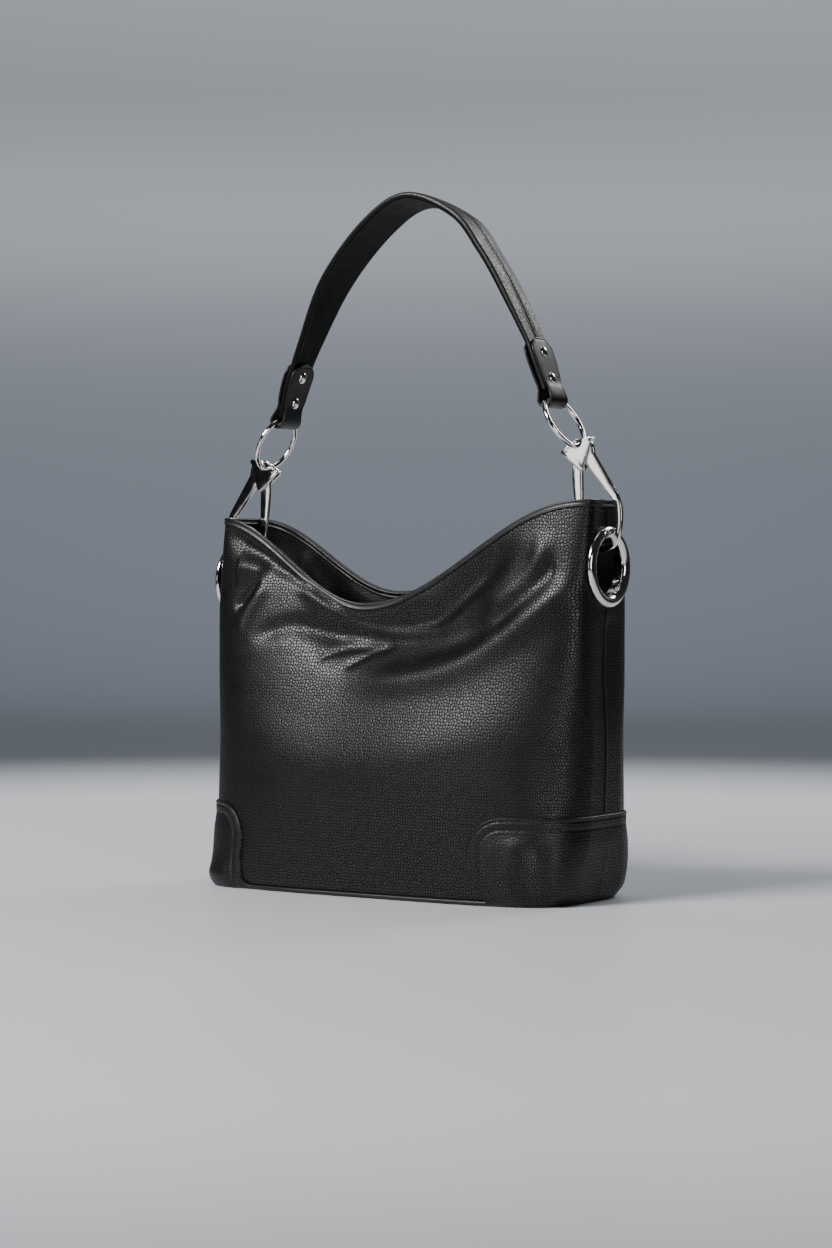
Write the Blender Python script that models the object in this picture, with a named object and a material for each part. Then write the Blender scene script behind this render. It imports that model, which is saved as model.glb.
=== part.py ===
"""Slouchy shoulder bag in black pebbled leather.

The bag stands on its base with the origin at the base's centre: +X to its right, -Y to its front,
+Z up. Two leather panels meet at the side seams, a big eyelet sits in each side wall, and a spring
hook through each eyelet carries a ring, a riveted tab and the shoulder strap.
"""

import math
from functools import lru_cache

import bmesh
import bpy
from mathutils import Matrix, Vector

MM = 0.001
GAP = 0.4 * MM  # clearance between pieces that touch
FRONT, BACK = -1, 1
RIGHT, LEFT = 1, -1

# Bag body: section sizes by share of the rim's height, each a smooth curve through its knots
SEAM_HALF_WIDTH = [(0, 158), (0.04, 165), (0.2, 172), (0.45, 174), (1, 174)]
OVAL_HALF_WIDTH = [(0, 158), (0.04, 166), (0.2, 173), (0.45, 176), (0.7, 181), (1, 182)]
OVAL_HALF_DEPTH = [(0, 70), (0.04, 75), (0.2, 77), (0.42, 73), (0.6, 61), (0.83, 44), (1, 32)]
OVAL_POWER = [(0, 4.2), (0.04, 4.4), (0.2, 3.3), (0.42, 3.0), (0.62, 3.6), (0.83, 6.5), (1, 11)]

# Rim: a scooped edge, lowest near the middle and highest over the right-hand seam
RIM_LOW_X = {FRONT: -28 * MM, BACK: -36 * MM}
RIM_LOW_Z = {FRONT: 229 * MM, BACK: 238 * MM}
RIM_SEAM_Z = {RIGHT: 309 * MM, LEFT: 298 * MM}
RIM_SEAM_X = 174 * MM
LEFT_SAG = 11 * MM  # the left side slumps, so its hardware sits lower

# Leather and cloth thicknesses, and how deep each layer lies behind the outer surface
PANEL_THICK = 1.8 * MM
PATCH_THICK = 1.5 * MM
FACING_THICK = 1.2 * MM
LINING_THICK = 0.8 * MM
FACING_DEPTH = PANEL_THICK + GAP
LINING_DEPTH = PANEL_THICK + GAP
LINING_INNER = LINING_DEPTH + LINING_THICK

# Heights of the body's layers
BASE_THICK = 2.0 * MM
BOARD_THICK = 2.0 * MM
WALL_BOTTOM = 3.9 * MM
LINING_BOTTOM = BASE_THICK + BOARD_THICK + 2 * GAP
FACING_BOTTOM = 188 * MM
PATCH_TOP = 67 * MM
FOOT_LEVELS = [8 * MM, 14 * MM, 30 * MM]
BELLY_LEVELS = [95 * MM, 130 * MM, 160 * MM]
WALL_LEVELS = [WALL_BOTTOM, *FOOT_LEVELS, PATCH_TOP, *BELLY_LEVELS, FACING_BOTTOM]
LINING_LEVELS = [LINING_BOTTOM, 14 * MM, PATCH_TOP, *BELLY_LEVELS, FACING_BOTTOM - GAP]
FACING_STEPS = 4

# Rim binding and base piping
BINDING_HALF_WIDTH = 2.7 * MM
BINDING_HALF_HEIGHT = 1.8 * MM
WALL_TOP_DROP = 4.7 * MM  # wall edge below the rim, room for the binding on its slopes
PIPING_RADIUS = 1.5 * MM
PIPING_HEIGHT = 1.9 * MM

# Side eyelets
EYELET_Z = 257.5 * MM
EYELET_BORE = 21.5 * MM
EYELET_BARREL = 23.2 * MM
EYELET_OUTER = 31 * MM
EYELET_HOLE = 23.7 * MM
WASHER_OUTER = 30 * MM
WASHER_THICK = 1.4 * MM

# Spring hooks, drawn in the X-Z plane on the right-hand side
HOOK_BAR_Z = 271.5 * MM
HOOK_BAR_X = 165 * MM
EYE = (147.6 * MM, 350 * MM)
EYE_HOLE = 4.0 * MM
EYE_RADIUS = 6.3 * MM
GATE_PIVOT = (148 * MM, 340 * MM)
GATE_KNUCKLE = 4.0 * MM
HOOK_HALF_THICK = 1.7 * MM
PLATE_THICK = 1.5 * MM
PLATE_CORNERS = [(161.6, 358.0), (133.8, 346.3), (153.5, 330.0)]
PLATE_NOTCH = 5.3 * MM
PIN_RADIUS = 1.4 * MM
PIN_HEAD_RADIUS = 2.5 * MM
PIN_HEAD_THICK = 0.8 * MM
PLATE_CORNER_RADIUS = 2.4

# Rings, strap and its end tabs
RING_RADIUS = 22.5 * MM
RING_WIRE = 2.0 * MM
RING_LEAN = {RIGHT: math.radians(31), LEFT: math.radians(27)}
STRAP_POINTS = [
    (-124.5, 385.5), (-116.5, 409.5), (-103.0, 440.0), (-76.5, 489.0), (-36.0, 531.0),
    (2.0, 549.0), (44.5, 532.5), (68.5, 503.5), (88.5, 472.0), (109.0, 434.0), (124.0, 394.5),
]
STRAP_END_WIDTH = 24 * MM
STRAP_NECK_WIDTH = 28 * MM
STRAP_SHOULDER_WIDTH = 42 * MM
STRAP_LAYER = 2.05 * MM
TAB_THICK = 2.0 * MM
TAB_LENGTH = 50 * MM
TAB_LOOP = 5.8 * MM
TAB_WIDTHS = [(0, 25.5), (9, 23), (18, 27), (34, 30), (50, 30)]
TAB_LEAF_STOPS = [50, 48.5, 46, 42, 38, 32, 26, 20, 15, 10, 5]
TAB_ROUND_END = 10 * MM
RIVET_STATIONS = {"lower": 16 * MM, "upper": 38 * MM}
RIVET_CAP = 4.5 * MM
RIVET_DOME = 1.6 * MM
RIVET_SHANK = 1.4 * MM

# Inner fittings
SNAP_Z = 205 * MM
SNAP_RADIUS = 8 * MM
ZIP_Z = 145 * MM
ZIP_HALF_LENGTH = 62 * MM
ZIP_HALF_HEIGHT = 2.8 * MM
ZIP_CHAIN_LIFT = 1.4 * MM
ZIP_CHAIN_THICK = 1.6 * MM
SLIDER_START = 8 * MM  # from the zip's left end when closed
SLIDER_THICK = 2 * MM
PULL_LENGTH = 26 * MM

# Colours
BLACK_LEATHER = ((0.018, 0.018, 0.019, 1), 0.45, 0.0)
EDGE_LEATHER = ((0.028, 0.028, 0.030, 1), 0.35, 0.0)
LINING_CLOTH = ((0.05, 0.048, 0.046, 1), 0.85, 0.0)
POLISHED_NICKEL = ((0.80, 0.79, 0.77, 1), 0.10, 1.0)
BLACK_BOARD = ((0.04, 0.04, 0.04, 1), 0.8, 0.0)


def clear_scene():
    for found in list(bpy.data.objects):
        bpy.data.objects.remove(found, do_unlink=True)


def material(name, look):
    colour, roughness, metallic = look
    made = bpy.data.materials.new(name)
    made.use_nodes = True
    shader = made.node_tree.nodes["Principled BSDF"]
    shader.inputs["Base Color"].default_value = colour
    shader.inputs["Roughness"].default_value = roughness
    shader.inputs["Metallic"].default_value = metallic
    made.diffuse_color = colour
    return made


def add_object(name, bm, look, origin=Vector((0, 0, 0))):
    """Makes one named object from a closed bmesh, with its origin where asked."""
    bmesh.ops.remove_doubles(bm, verts=bm.verts, dist=1e-7)
    bmesh.ops.recalc_face_normals(bm, faces=bm.faces)
    bmesh.ops.translate(bm, verts=bm.verts, vec=-origin)
    mesh = bpy.data.meshes.new(name)
    bm.to_mesh(mesh)
    bm.free()
    mesh.materials.append(material(name, look))
    mesh.shade_smooth()
    mesh.set_sharp_from_angle(angle=math.radians(40))
    made = bpy.data.objects.new(name, mesh)
    made.location = origin
    bpy.context.scene.collection.objects.link(made)
    return made


def cut(target, cutter):
    """Cuts a hole with a hidden helper object, which stays in the file as a wire guide."""
    cutter.hide_render = True
    cutter.display_type = "WIRE"
    boolean = target.modifiers.new("hole", "BOOLEAN")
    boolean.operation = "DIFFERENCE"
    boolean.solver = "EXACT"
    boolean.object = cutter


def smoothstep(value):
    value = min(max(value, 0.0), 1.0)
    return value * value * (3 - 2 * value)


def curve_value(knots, at):
    """Smooth curve through (position, value) knots, flat wherever the values turn."""
    slopes = [(b[1] - a[1]) / (b[0] - a[0]) for a, b in zip(knots, knots[1:])]
    tangents = [slopes[0]]
    for before, after in zip(slopes, slopes[1:]):
        rising_together = before * after > 0
        tangents.append(2 * before * after / (before + after) if rising_together else 0.0)
    tangents.append(slopes[-1])
    index = 0
    while index < len(knots) - 2 and at > knots[index + 1][0]:
        index += 1
    (x0, y0), (x1, y1) = knots[index], knots[index + 1]
    step = x1 - x0
    t = min(max((at - x0) / step, 0.0), 1.0)
    ease = t * t * (3 - 2 * t)
    bow = t * (1 - t) * (step * tangents[index] * (1 - t) - step * tangents[index + 1] * t)
    return y0 + (y1 - y0) * ease + bow


# ---------------------------------------------------------------- the body's surface


@lru_cache(maxsize=None)
def half_section(share):
    """The front half of the body's outline at a share of the rim height, from the right-hand
    seam to the left-hand one: points with their distance along it. y counts outward."""
    samples = 240
    half_width = curve_value(OVAL_HALF_WIDTH, share) * MM
    half_depth = curve_value(OVAL_HALF_DEPTH, share) * MM
    power = curve_value(OVAL_POWER, share)
    seam = curve_value(SEAM_HALF_WIDTH, share) * MM
    points, run = [], 0.0
    for i in range(samples + 1):
        turn = math.pi * i / samples
        angle = math.atan2(0.45 * math.sin(turn), math.cos(turn))
        c, s = math.cos(angle), math.sin(angle)
        radius = (abs(c / half_width) ** power + abs(s / half_depth) ** power) ** (-1 / power)
        point = (min(max(radius * c, -seam), seam), radius * s)
        if points:
            run += math.hypot(point[0] - points[-1][0], point[1] - points[-1][1])
        points.append((point[0], point[1], run))
    return points


def along_section(share, station):
    """The outline point at a station, 0 at the right-hand seam and 1 at the left-hand one."""
    points = half_section(share)
    target = station * points[-1][2]
    low, high = 0, len(points) - 1
    while high - low > 1:
        middle = (low + high) // 2
        if points[middle][2] <= target:
            low = middle
        else:
            high = middle
    a, b = points[low], points[high]
    t = (target - a[2]) / max(b[2] - a[2], 1e-12)
    return Vector((a[0] + (b[0] - a[0]) * t, a[1] + (b[1] - a[1]) * t))


@lru_cache(maxsize=None)
def rim_height(station, side):
    """Height of the bag's rim above the floor, on the front or the back."""
    x = along_section(1.0, station).x
    low_x = RIM_LOW_X[side]
    end = RIM_SEAM_X - 4 * MM if x > low_x else -RIM_SEAM_X
    climb = min(abs(x - low_x) / abs(end - low_x), 1.0)
    seam_z = RIM_SEAM_Z[RIGHT if x > low_x else LEFT]
    return RIM_LOW_Z[side] + (seam_z - RIM_LOW_Z[side]) * (1 - math.cos(math.pi * climb)) / 2


def wall_frame(station, height, side, depth=0.0):
    """Point on the body's wall at a station and height, sunk to a depth behind the outer
    surface, with the outward direction there."""
    share = round(height / rim_height(station, side), 6)
    spread = 0.006
    centre = along_section(share, station)
    ahead = along_section(share, min(station + spread, 1.0))
    behind = along_section(share, max(station - spread, 0.0))
    run = ahead - behind
    outward = Vector((run.y, -run.x)).normalized()
    if station < spread or station > 1 - spread:
        outward = Vector((1.0 if station < 0.5 else -1.0, 0.0))
    point = centre - outward * depth
    return Vector((point.x, side * point.y, height)), Vector((outward.x, side * outward.y, 0))


def wall_point(station, height, side, depth=0.0):
    return wall_frame(station, height, side, depth)[0]


def body_stations():
    """Stations along a half section: close together round the corners, wider in the middle."""
    close = [0.0006] + [0.0245 * i for i in range(1, 9)]
    middle = [0.5 + 0.0508 * (i - 5) for i in range(11)]
    return close + middle + [1 - s for s in reversed(close)]


def facing_heights(station, side):
    """Heights of the wall's rows from the facing's lower edge to the wall's top edge."""
    top = rim_height(station, side) - WALL_TOP_DROP
    return [FACING_BOTTOM + (top - FACING_BOTTOM) * i / FACING_STEPS for i in range(FACING_STEPS + 1)]


def loop_stations():
    """(station, side) pairs once round the whole body, seam to seam and back."""
    stations = [0.0] + body_stations()[1:-1] + [1.0]
    there = [(s, FRONT) for s in stations]
    back = [(s, BACK) for s in reversed(stations[1:-1])]
    return there + back


# ---------------------------------------------------------------- mesh builders


def grid_faces(bm, rows, flip=False, other_diagonal=False):
    """Joins rows of vertices into triangles, split the same way in every layer so that
    nested layers keep their gap."""
    splits = ((0, 1, 3), (1, 2, 3)) if other_diagonal else ((0, 1, 2), (0, 2, 3))
    for below, above in zip(rows, rows[1:]):
        for i in range(len(below) - 1):
            corners = [below[i], below[i + 1], above[i + 1], above[i]]
            for pick in splits:
                triangle = [corners[k] for k in pick]
                bm.faces.new(reversed(triangle) if flip else triangle)


def vertex_rows(bm, rows):
    return [[bm.verts.new(point) for point in row] for row in rows]


def sheet_solid(name, outer_rows, inner_rows, look):
    """A closed body between two matching grids of points."""
    bm = bmesh.new()
    outer, inner = vertex_rows(bm, outer_rows), vertex_rows(bm, inner_rows)
    grid_faces(bm, outer)
    grid_faces(bm, inner, flip=True)
    border = border_of(outer)
    inner_border = border_of(inner)
    for i in range(len(border)):
        j = (i + 1) % len(border)
        bm.faces.new([border[j], border[i], inner_border[i], inner_border[j]])
    return add_object(name, bm, look)


def border_of(rows):
    """The vertices round the edge of a grid, in order."""
    bottom, top = rows[0], rows[-1]
    right = [row[-1] for row in rows[1:-1]]
    left = [row[0] for row in rows[1:-1]]
    return bottom + right + list(reversed(top)) + list(reversed(left))


def tube(name, rings, look, closed=False):
    """A closed body from a run of matching cross-section rings, capped or joined end to end."""
    bm = bmesh.new()
    made = [[bm.verts.new(point) for point in ring] for ring in rings]
    pairs = list(zip(made, made[1:])) + ([(made[-1], made[0])] if closed else [])
    for a, b in pairs:
        for i in range(len(a)):
            j = (i + 1) % len(a)
            bm.faces.new([a[i], a[j], b[j], b[i]])
    if not closed:
        bm.faces.new(list(reversed(made[0])))
        bm.faces.new(made[-1])
    return add_object(name, bm, look)


def turned(name, profile, centre, axis, look, segments=24):
    """Turns a closed (radius, offset along the axis) profile about an axis. A profile that
    starts and ends on the axis makes a solid, any other a ring."""
    bm = bmesh.new()
    spin = axis.normalized()
    across = spin.orthogonal().normalized()
    third = spin.cross(across)
    solid = profile[0][0] == 0
    rings = []
    for radius, offset in profile:
        middle = centre + spin * offset
        if radius == 0:
            rings.append([bm.verts.new(middle)])
            continue
        turn = [2 * math.pi * i / segments for i in range(segments)]
        ring = [middle + (across * math.cos(a) + third * math.sin(a)) * radius for a in turn]
        rings.append([bm.verts.new(point) for point in ring])
    pairs = list(zip(rings, rings[1:])) + ([] if solid else [(rings[-1], rings[0])])
    for a, b in pairs:
        for i in range(segments):
            j = (i + 1) % segments
            corners = [a[i % len(a)], a[j % len(a)], b[j % len(b)], b[i % len(b)]]
            bm.faces.new(list(dict.fromkeys(corners)))
    return add_object(name, bm, look)


def set_pivot(made, place):
    """Puts a finished object's origin at a point of its joint's axis; its shape stays put."""
    made.data.transform(Matrix.Translation(made.location - place))
    made.location = place


def flat_plate(name, outline, holes, y_low, y_high, look, origin=Vector((0, 0, 0))):
    """An upright plate in the X-Z plane: an outline with round holes, extruded along Y."""
    bm = bmesh.new()
    loops = [outline] + [arc_points(centre, radius, 0, 360, 16)[:-1] for centre, radius in holes]
    for loop in loops:
        made = [bm.verts.new((x, y_low, z)) for x, z in loop]
        for a, b in zip(made, made[1:] + made[:1]):
            bm.edges.new((a, b))
    filled = bmesh.ops.triangle_fill(bm, use_beauty=True, edges=bm.edges[:])
    faces = [item for item in filled["geom"] if isinstance(item, bmesh.types.BMFace)]
    raised = bmesh.ops.extrude_face_region(bm, geom=faces, use_keep_orig=True)
    lifted = [item for item in raised["geom"] if isinstance(item, bmesh.types.BMVert)]
    bmesh.ops.translate(bm, verts=lifted, vec=(0, y_high - y_low, 0))
    return add_object(name, bm, look, origin)


def arc_points(centre, radius, start, end, steps):
    """Points on an arc in the X-Z plane, from one angle to another in degrees."""
    found = []
    for i in range(steps + 1):
        angle = math.radians(start + (end - start) * i / steps)
        found.append((centre[0] + radius * math.cos(angle), centre[1] + radius * math.sin(angle)))
    return found


def guide_cylinder(name, centre, axis, radius, length, segments=24):
    """A hidden cutter."""
    profile = [(0, -length / 2), (radius, -length / 2), (radius, length / 2), (0, length / 2)]
    return turned(name, profile, centre, axis, EDGE_LEATHER, segments)


# ---------------------------------------------------------------- body panels


def wall_rows(side, depth):
    """A whole wall panel's grid: fixed heights up to the facing, then up to the rim."""
    stations = body_stations()
    rows = [[wall_point(s, z, side, depth) for s in stations] for z in WALL_LEVELS]
    tops = [facing_heights(s, side) for s in stations]
    for step in range(1, FACING_STEPS + 1):
        rows.append([wall_point(s, tops[i][step], side, depth) for i, s in enumerate(stations)])
    return rows


def facing_rows(side, depth):
    stations = body_stations()
    tops = [facing_heights(s, side) for s in stations]
    return [
        [wall_point(s, tops[i][step], side, depth) for i, s in enumerate(stations)]
        for step in range(FACING_STEPS + 1)
    ]


def eyelet_centre(hand):
    height = EYELET_Z - (LEFT_SAG if hand == LEFT else 0)
    return Vector((hand * RIM_SEAM_X, 0, height))


def make_walls(eyelet_guides):
    for side, word in ((FRONT, "front"), (BACK, "back")):
        panel = sheet_solid(
            f"{word}_panel", wall_rows(side, 0), wall_rows(side, PANEL_THICK), BLACK_LEATHER
        )
        facing = sheet_solid(
            f"{word}_facing",
            facing_rows(side, FACING_DEPTH),
            facing_rows(side, FACING_DEPTH + FACING_THICK),
            BLACK_LEATHER,
        )
        for guide in eyelet_guides:
            cut(panel, guide)
            cut(facing, guide)


def make_corner_patches():
    """Four reinforcing patches at the base's corners, each with a rounded top inner corner."""
    reach = 11
    tops = [1.0] * (reach - 2) + [0.75, 0.3]  # share of the top row's rise, column by column
    for side, word in ((FRONT, "front"), (BACK, "back")):
        for hand, hand_word in ((RIGHT, "right"), (LEFT, "left")):
            if hand == RIGHT:
                columns = list(zip(body_stations()[:reach], tops))
            else:
                columns = list(zip(body_stations()[-reach:], reversed(tops)))
            layers = []
            for depth in (-GAP - PATCH_THICK, -GAP):
                rows = [[wall_point(s, z, side, depth) for s, _ in columns] for z in WALL_LEVELS[:5]]
                rows[4] = [
                    low.lerp(high, rise) for low, high, (_, rise) in zip(rows[3], rows[4], columns)
                ]
                layers.append(rows)
            sheet_solid(f"corner_patch_{word}_{hand_word}", layers[0], layers[1], BLACK_LEATHER)


def base_outline(depth, height):
    return [wall_point(s, height, side, depth) for s, side in loop_stations()]


def make_slab(name, depth, z_low, z_high, look):
    """A flat slab with the base's outline."""
    ring = base_outline(depth, WALL_BOTTOM)
    rings = [[Vector((p.x, p.y, z)) for p in ring] for z in (z_low, z_high)]
    return tube(name, rings, look)


def make_base():
    make_slab("bottom_panel", 2.2 * MM, 0, BASE_THICK, BLACK_LEATHER)
    board_low = BASE_THICK + GAP
    make_slab("base_board", PANEL_THICK + 2 * GAP, board_low, board_low + BOARD_THICK, BLACK_BOARD)
    sides = 6
    rings = []
    for station, side in loop_stations():
        foot, outward = wall_frame(station, WALL_BOTTOM, side, 0.3 * MM)
        centre = Vector((foot.x, foot.y, PIPING_HEIGHT))
        turns = [2 * math.pi * i / sides for i in range(sides)]
        up = Vector((0, 0, 1))
        rings.append([centre + (outward * math.cos(a) + up * math.sin(a)) * PIPING_RADIUS for a in turns])
    tube("base_piping", rings, EDGE_LEATHER, closed=True)


def make_rim_binding():
    """A flattened bead that caps the walls' top edges all round the mouth."""
    sides = 8
    path = []
    for station, side in loop_stations():
        height = rim_height(station, side) - BINDING_HALF_HEIGHT
        path.append(wall_frame(station, height, side, (FACING_DEPTH + FACING_THICK) / 2))
    rings = []
    for i, (centre, outward) in enumerate(path):
        run = (path[(i + 1) % len(path)][0] - path[i - 1][0]).normalized()
        up = outward.cross(run).normalized()
        up = up if up.z > 0 else -up
        ring = []
        for k in range(sides):
            angle = 2 * math.pi * (k + 0.5) / sides
            across = outward * math.cos(angle) * BINDING_HALF_WIDTH
            ring.append(centre + across + up * math.sin(angle) * BINDING_HALF_HEIGHT)
        rings.append(ring)
    tube("rim_binding", rings, EDGE_LEATHER, closed=True)


def make_lining():
    """A cloth cup: outer skin, inner skin, and a floor over the base board."""
    bm = bmesh.new()
    loop = loop_stations()
    skins = []
    for depth, lift in ((LINING_DEPTH, 0), (LINING_INNER, LINING_THICK)):
        levels = [LINING_LEVELS[0] + lift] + LINING_LEVELS[1:]
        skins.append([[bm.verts.new(wall_point(s, z, side, depth)) for s, side in loop] for z in levels])
    half = len(loop) // 2
    for rows, flip in zip(skins, (False, True)):
        grid_faces(bm, [row[: half + 1] for row in rows], flip)
        grid_faces(bm, [row[half:] + row[:1] for row in rows], flip, other_diagonal=True)
    bm.faces.new(list(reversed(skins[0][0])))
    bm.faces.new(skins[1][0])
    outer_top, inner_top = skins[0][-1], skins[1][-1]
    for i in range(len(loop)):
        j = (i + 1) % len(loop)
        bm.faces.new([outer_top[i], outer_top[j], inner_top[j], inner_top[i]])
    add_object("lining", bm, LINING_CLOTH)


# ---------------------------------------------------------------- inner fittings


def inner_wall_plane(side, height, depth):
    """A frame on the wall's inner face at the middle of the bag: origin, inward direction
    and the direction up the wall."""
    low = wall_point(0.5, height - 10 * MM, side, depth)
    high = wall_point(0.5, height + 10 * MM, side, depth)
    up = (high - low).normalized()
    inward = Vector((1, 0, 0)).cross(up)
    inward = inward if inward.y * side < 0 else -inward
    middle = (low + high) / 2
    return Vector((0, middle.y, middle.z)), inward, up


def boxed(name, origin, inward, up, half_x, depth_range, up_range, look, centre_x=0.0, pivot=None):
    """A box given in the frame of the inner wall."""
    bm = bmesh.new()
    corners = []
    for x in (centre_x - half_x, centre_x + half_x):
        for d in depth_range:
            for u in up_range:
                corners.append(bm.verts.new(origin + Vector((x, 0, 0)) + inward * d + up * u))
    for quad in ((0, 1, 3, 2), (4, 6, 7, 5), (0, 4, 5, 1), (2, 3, 7, 6), (0, 2, 6, 4), (1, 5, 7, 3)):
        bm.faces.new([corners[i] for i in quad])
    return add_object(name, bm, look, pivot or Vector((0, 0, 0)))


def make_pockets():
    stations = [s for s in body_stations() if 0.29 < s < 0.71]
    levels = [PATCH_TOP, 95 * MM, 130 * MM, 160 * MM]
    near, far = LINING_INNER + GAP, LINING_INNER + GAP + LINING_THICK
    rows = [[[wall_point(s, z, FRONT, d) for s in stations] for z in levels] for d in (near, far)]
    sheet_solid("slip_pocket", rows[0], rows[1], LINING_CLOTH)
    rows = [[[wall_point(s, z, BACK, d) for s in stations] for z in levels[2:]] for d in (near, far)]
    sheet_solid("zip_tape", rows[0], rows[1], LINING_CLOTH)

    origin, inward, up = inner_wall_plane(BACK, ZIP_Z, far)
    chain_near = ZIP_CHAIN_LIFT
    chain_far = chain_near + ZIP_CHAIN_THICK
    boxed(
        "zip_chain", origin, inward, up, ZIP_HALF_LENGTH, (chain_near, chain_far),
        (-ZIP_HALF_HEIGHT, ZIP_HALF_HEIGHT), POLISHED_NICKEL,
    )
    start_x = -ZIP_HALF_LENGTH + SLIDER_START
    slider_near = chain_far + GAP
    slider_far = slider_near + SLIDER_THICK
    slider_spot = origin + Vector((start_x, 0, 0)) + inward * slider_near
    boxed(
        "zip_slider", origin, inward, up, 4.5 * MM, (slider_near, slider_far), (-4 * MM, 4 * MM),
        POLISHED_NICKEL, start_x, slider_spot,
    )
    hinge = origin + Vector((start_x, 0, 0)) + inward * (slider_far + 1.5 * MM) - up * 1.5 * MM
    hang = Vector((0, 0, -1))
    aside = Vector((0, -1, 0))
    boxed(
        "zip_pull", hinge, aside, -hang, 3 * MM, (-0.6 * MM, 0.6 * MM), (-PULL_LENGTH, 0.8 * MM),
        POLISHED_NICKEL, 0.0, hinge,
    )


def make_snap():
    """A magnetic snap: a socket disc on the back facing and a studded disc on the front one."""
    depth = FACING_DEPTH + FACING_THICK + 0.8 * MM
    halves = ((FRONT, "snap_stud", 2 * MM, 2 * MM), (BACK, "snap_socket", 3.2 * MM, 0))
    for side, name, thick, stud in halves:
        origin, inward, _ = inner_wall_plane(side, SNAP_Z, depth)
        profile = [(0, 0), (SNAP_RADIUS, 0), (SNAP_RADIUS, thick)]
        if stud:
            profile += [(2.5 * MM, thick), (2.5 * MM, thick + stud), (0, thick + stud)]
        else:
            profile += [(3.2 * MM, thick), (3.2 * MM, thick - 2 * MM), (0, thick - 2 * MM)]
        turned(name, profile, origin, inward, POLISHED_NICKEL)


# ---------------------------------------------------------------- eyelets


def make_eyelets():
    front_face, barrel_end = GAP, -(FACING_DEPTH + FACING_THICK + 2.3 * MM)
    flange = [
        (EYELET_BORE, barrel_end),
        (EYELET_BARREL, barrel_end),
        (EYELET_BARREL, front_face),
        (EYELET_OUTER, front_face),
        (EYELET_OUTER - 0.8 * MM, 2.0 * MM),
        (26.5 * MM, 3.3 * MM),
        (22.8 * MM, 2.6 * MM),
        (EYELET_BORE, 0.8 * MM),
    ]
    washer_near = -(FACING_DEPTH + FACING_THICK + GAP)
    washer = [
        (EYELET_HOLE, washer_near),
        (WASHER_OUTER, washer_near),
        (WASHER_OUTER - 0.8 * MM, washer_near - WASHER_THICK),
        (EYELET_HOLE, washer_near - WASHER_THICK),
    ]
    for hand, word in ((RIGHT, "right"), (LEFT, "left")):
        centre, axis = eyelet_centre(hand), Vector((hand, 0, 0))
        turned(f"{word}_eyelet", flange, centre, axis, POLISHED_NICKEL, 32)
        turned(f"{word}_eyelet_washer", washer, centre, axis, POLISHED_NICKEL, 32)


def make_eyelet_guides():
    guides = []
    for hand, word in ((RIGHT, "right"), (LEFT, "left")):
        centre = eyelet_centre(hand)
        name = f"guide_{word}_eyelet"
        guides.append(guide_cylinder(name, centre, Vector((1, 0, 0)), EYELET_HOLE, 30 * MM, 32))
    return guides


# ---------------------------------------------------------------- hooks


def on_hand(points, hand):
    """Moves right-hand X-Z points to their own side, lower on the left where the bag slumps."""
    drop = LEFT_SAG if hand == LEFT else 0
    return [(hand * x, z - drop) for x, z in points]


def hook_point(point, hand):
    x, z = on_hand([point], hand)[0]
    return Vector((x, 0, z))


def hook_frame_outline():
    """Bar, nose, outer leg and head of the right-hand hook as one outline."""
    nose_and_belly = [
        (145.0, 269.0), (171.5, 269.0), (178.5, 271.2), (183.3, 276.6), (185.6, 283.0), (187.3, 291.5),
        (187.1, 304.0), (183.8, 313.5),
    ]
    head_side = [(163.5, 344.0), (162.0, 352.5), (157.5, 356.0)]
    inner_leg_side = [(155.4, 337.2), (178.0, 310.2), (181.7, 302.0), (182.3, 291.8), (180.4, 283.6)]
    bar_top = [(176.6, 277.0), (171.0, 274.0), (147.3, 274.0), (147.3, 279.0), (145.0, 279.0)]
    eye_in_mm = (EYE[0] / MM, EYE[1] / MM)
    pivot_in_mm = (GATE_PIVOT[0] / MM, GATE_PIVOT[1] / MM)
    eye = arc_points(eye_in_mm, EYE_RADIUS / MM, 40, 232, 12)
    notch = arc_points(pivot_in_mm, GATE_KNUCKLE / MM + 0.4, 165, -12, 9)
    outline = nose_and_belly + head_side + eye + notch + inner_leg_side + bar_top
    return [(x * MM, z * MM) for x, z in outline]


def gate_outline():
    """The hook's gate: a round knuckle at its pivot and a leg that tapers to its tip."""
    pivot_in_mm = (GATE_PIVOT[0] / MM, GATE_PIVOT[1] / MM)
    knuckle = arc_points(pivot_in_mm, GATE_KNUCKLE / MM, 0, 180, 8)
    leg = [(143.6, 326.0), (145.4, 312.0), (147.7, 300.0), (147.7, 274.7), (152.4, 274.7), (152.6, 326.0)]
    return [(x * MM, z * MM) for x, z in knuckle + leg]


def plate_outline():
    """Triangular cheek plate with round corners and a notch where the ring passes."""
    (ax, az), (bx, bz), (cx, cz) = PLATE_CORNERS
    middle = ((ax + bx + cx) / 3, (az + bz + cz) / 3)
    outline = []
    spans = [(-62, 68), (112, 248), (226, 355)]
    for (px, pz), (start, end) in zip(PLATE_CORNERS, spans):
        reach = math.hypot(px - middle[0], pz - middle[1])
        pull = (reach - PLATE_CORNER_RADIUS * 1.5) / reach
        centre = (middle[0] + (px - middle[0]) * pull, middle[1] + (pz - middle[1]) * pull)
        outline += arc_points(centre, PLATE_CORNER_RADIUS, start, end, 5)
        if (px, pz) == (ax, az):
            eye_in_mm = (EYE[0] / MM, EYE[1] / MM)
            outline += arc_points(eye_in_mm, PLATE_NOTCH / MM, 12, -146, 7)
    return [(x * MM, z * MM) for x, z in outline]


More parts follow.
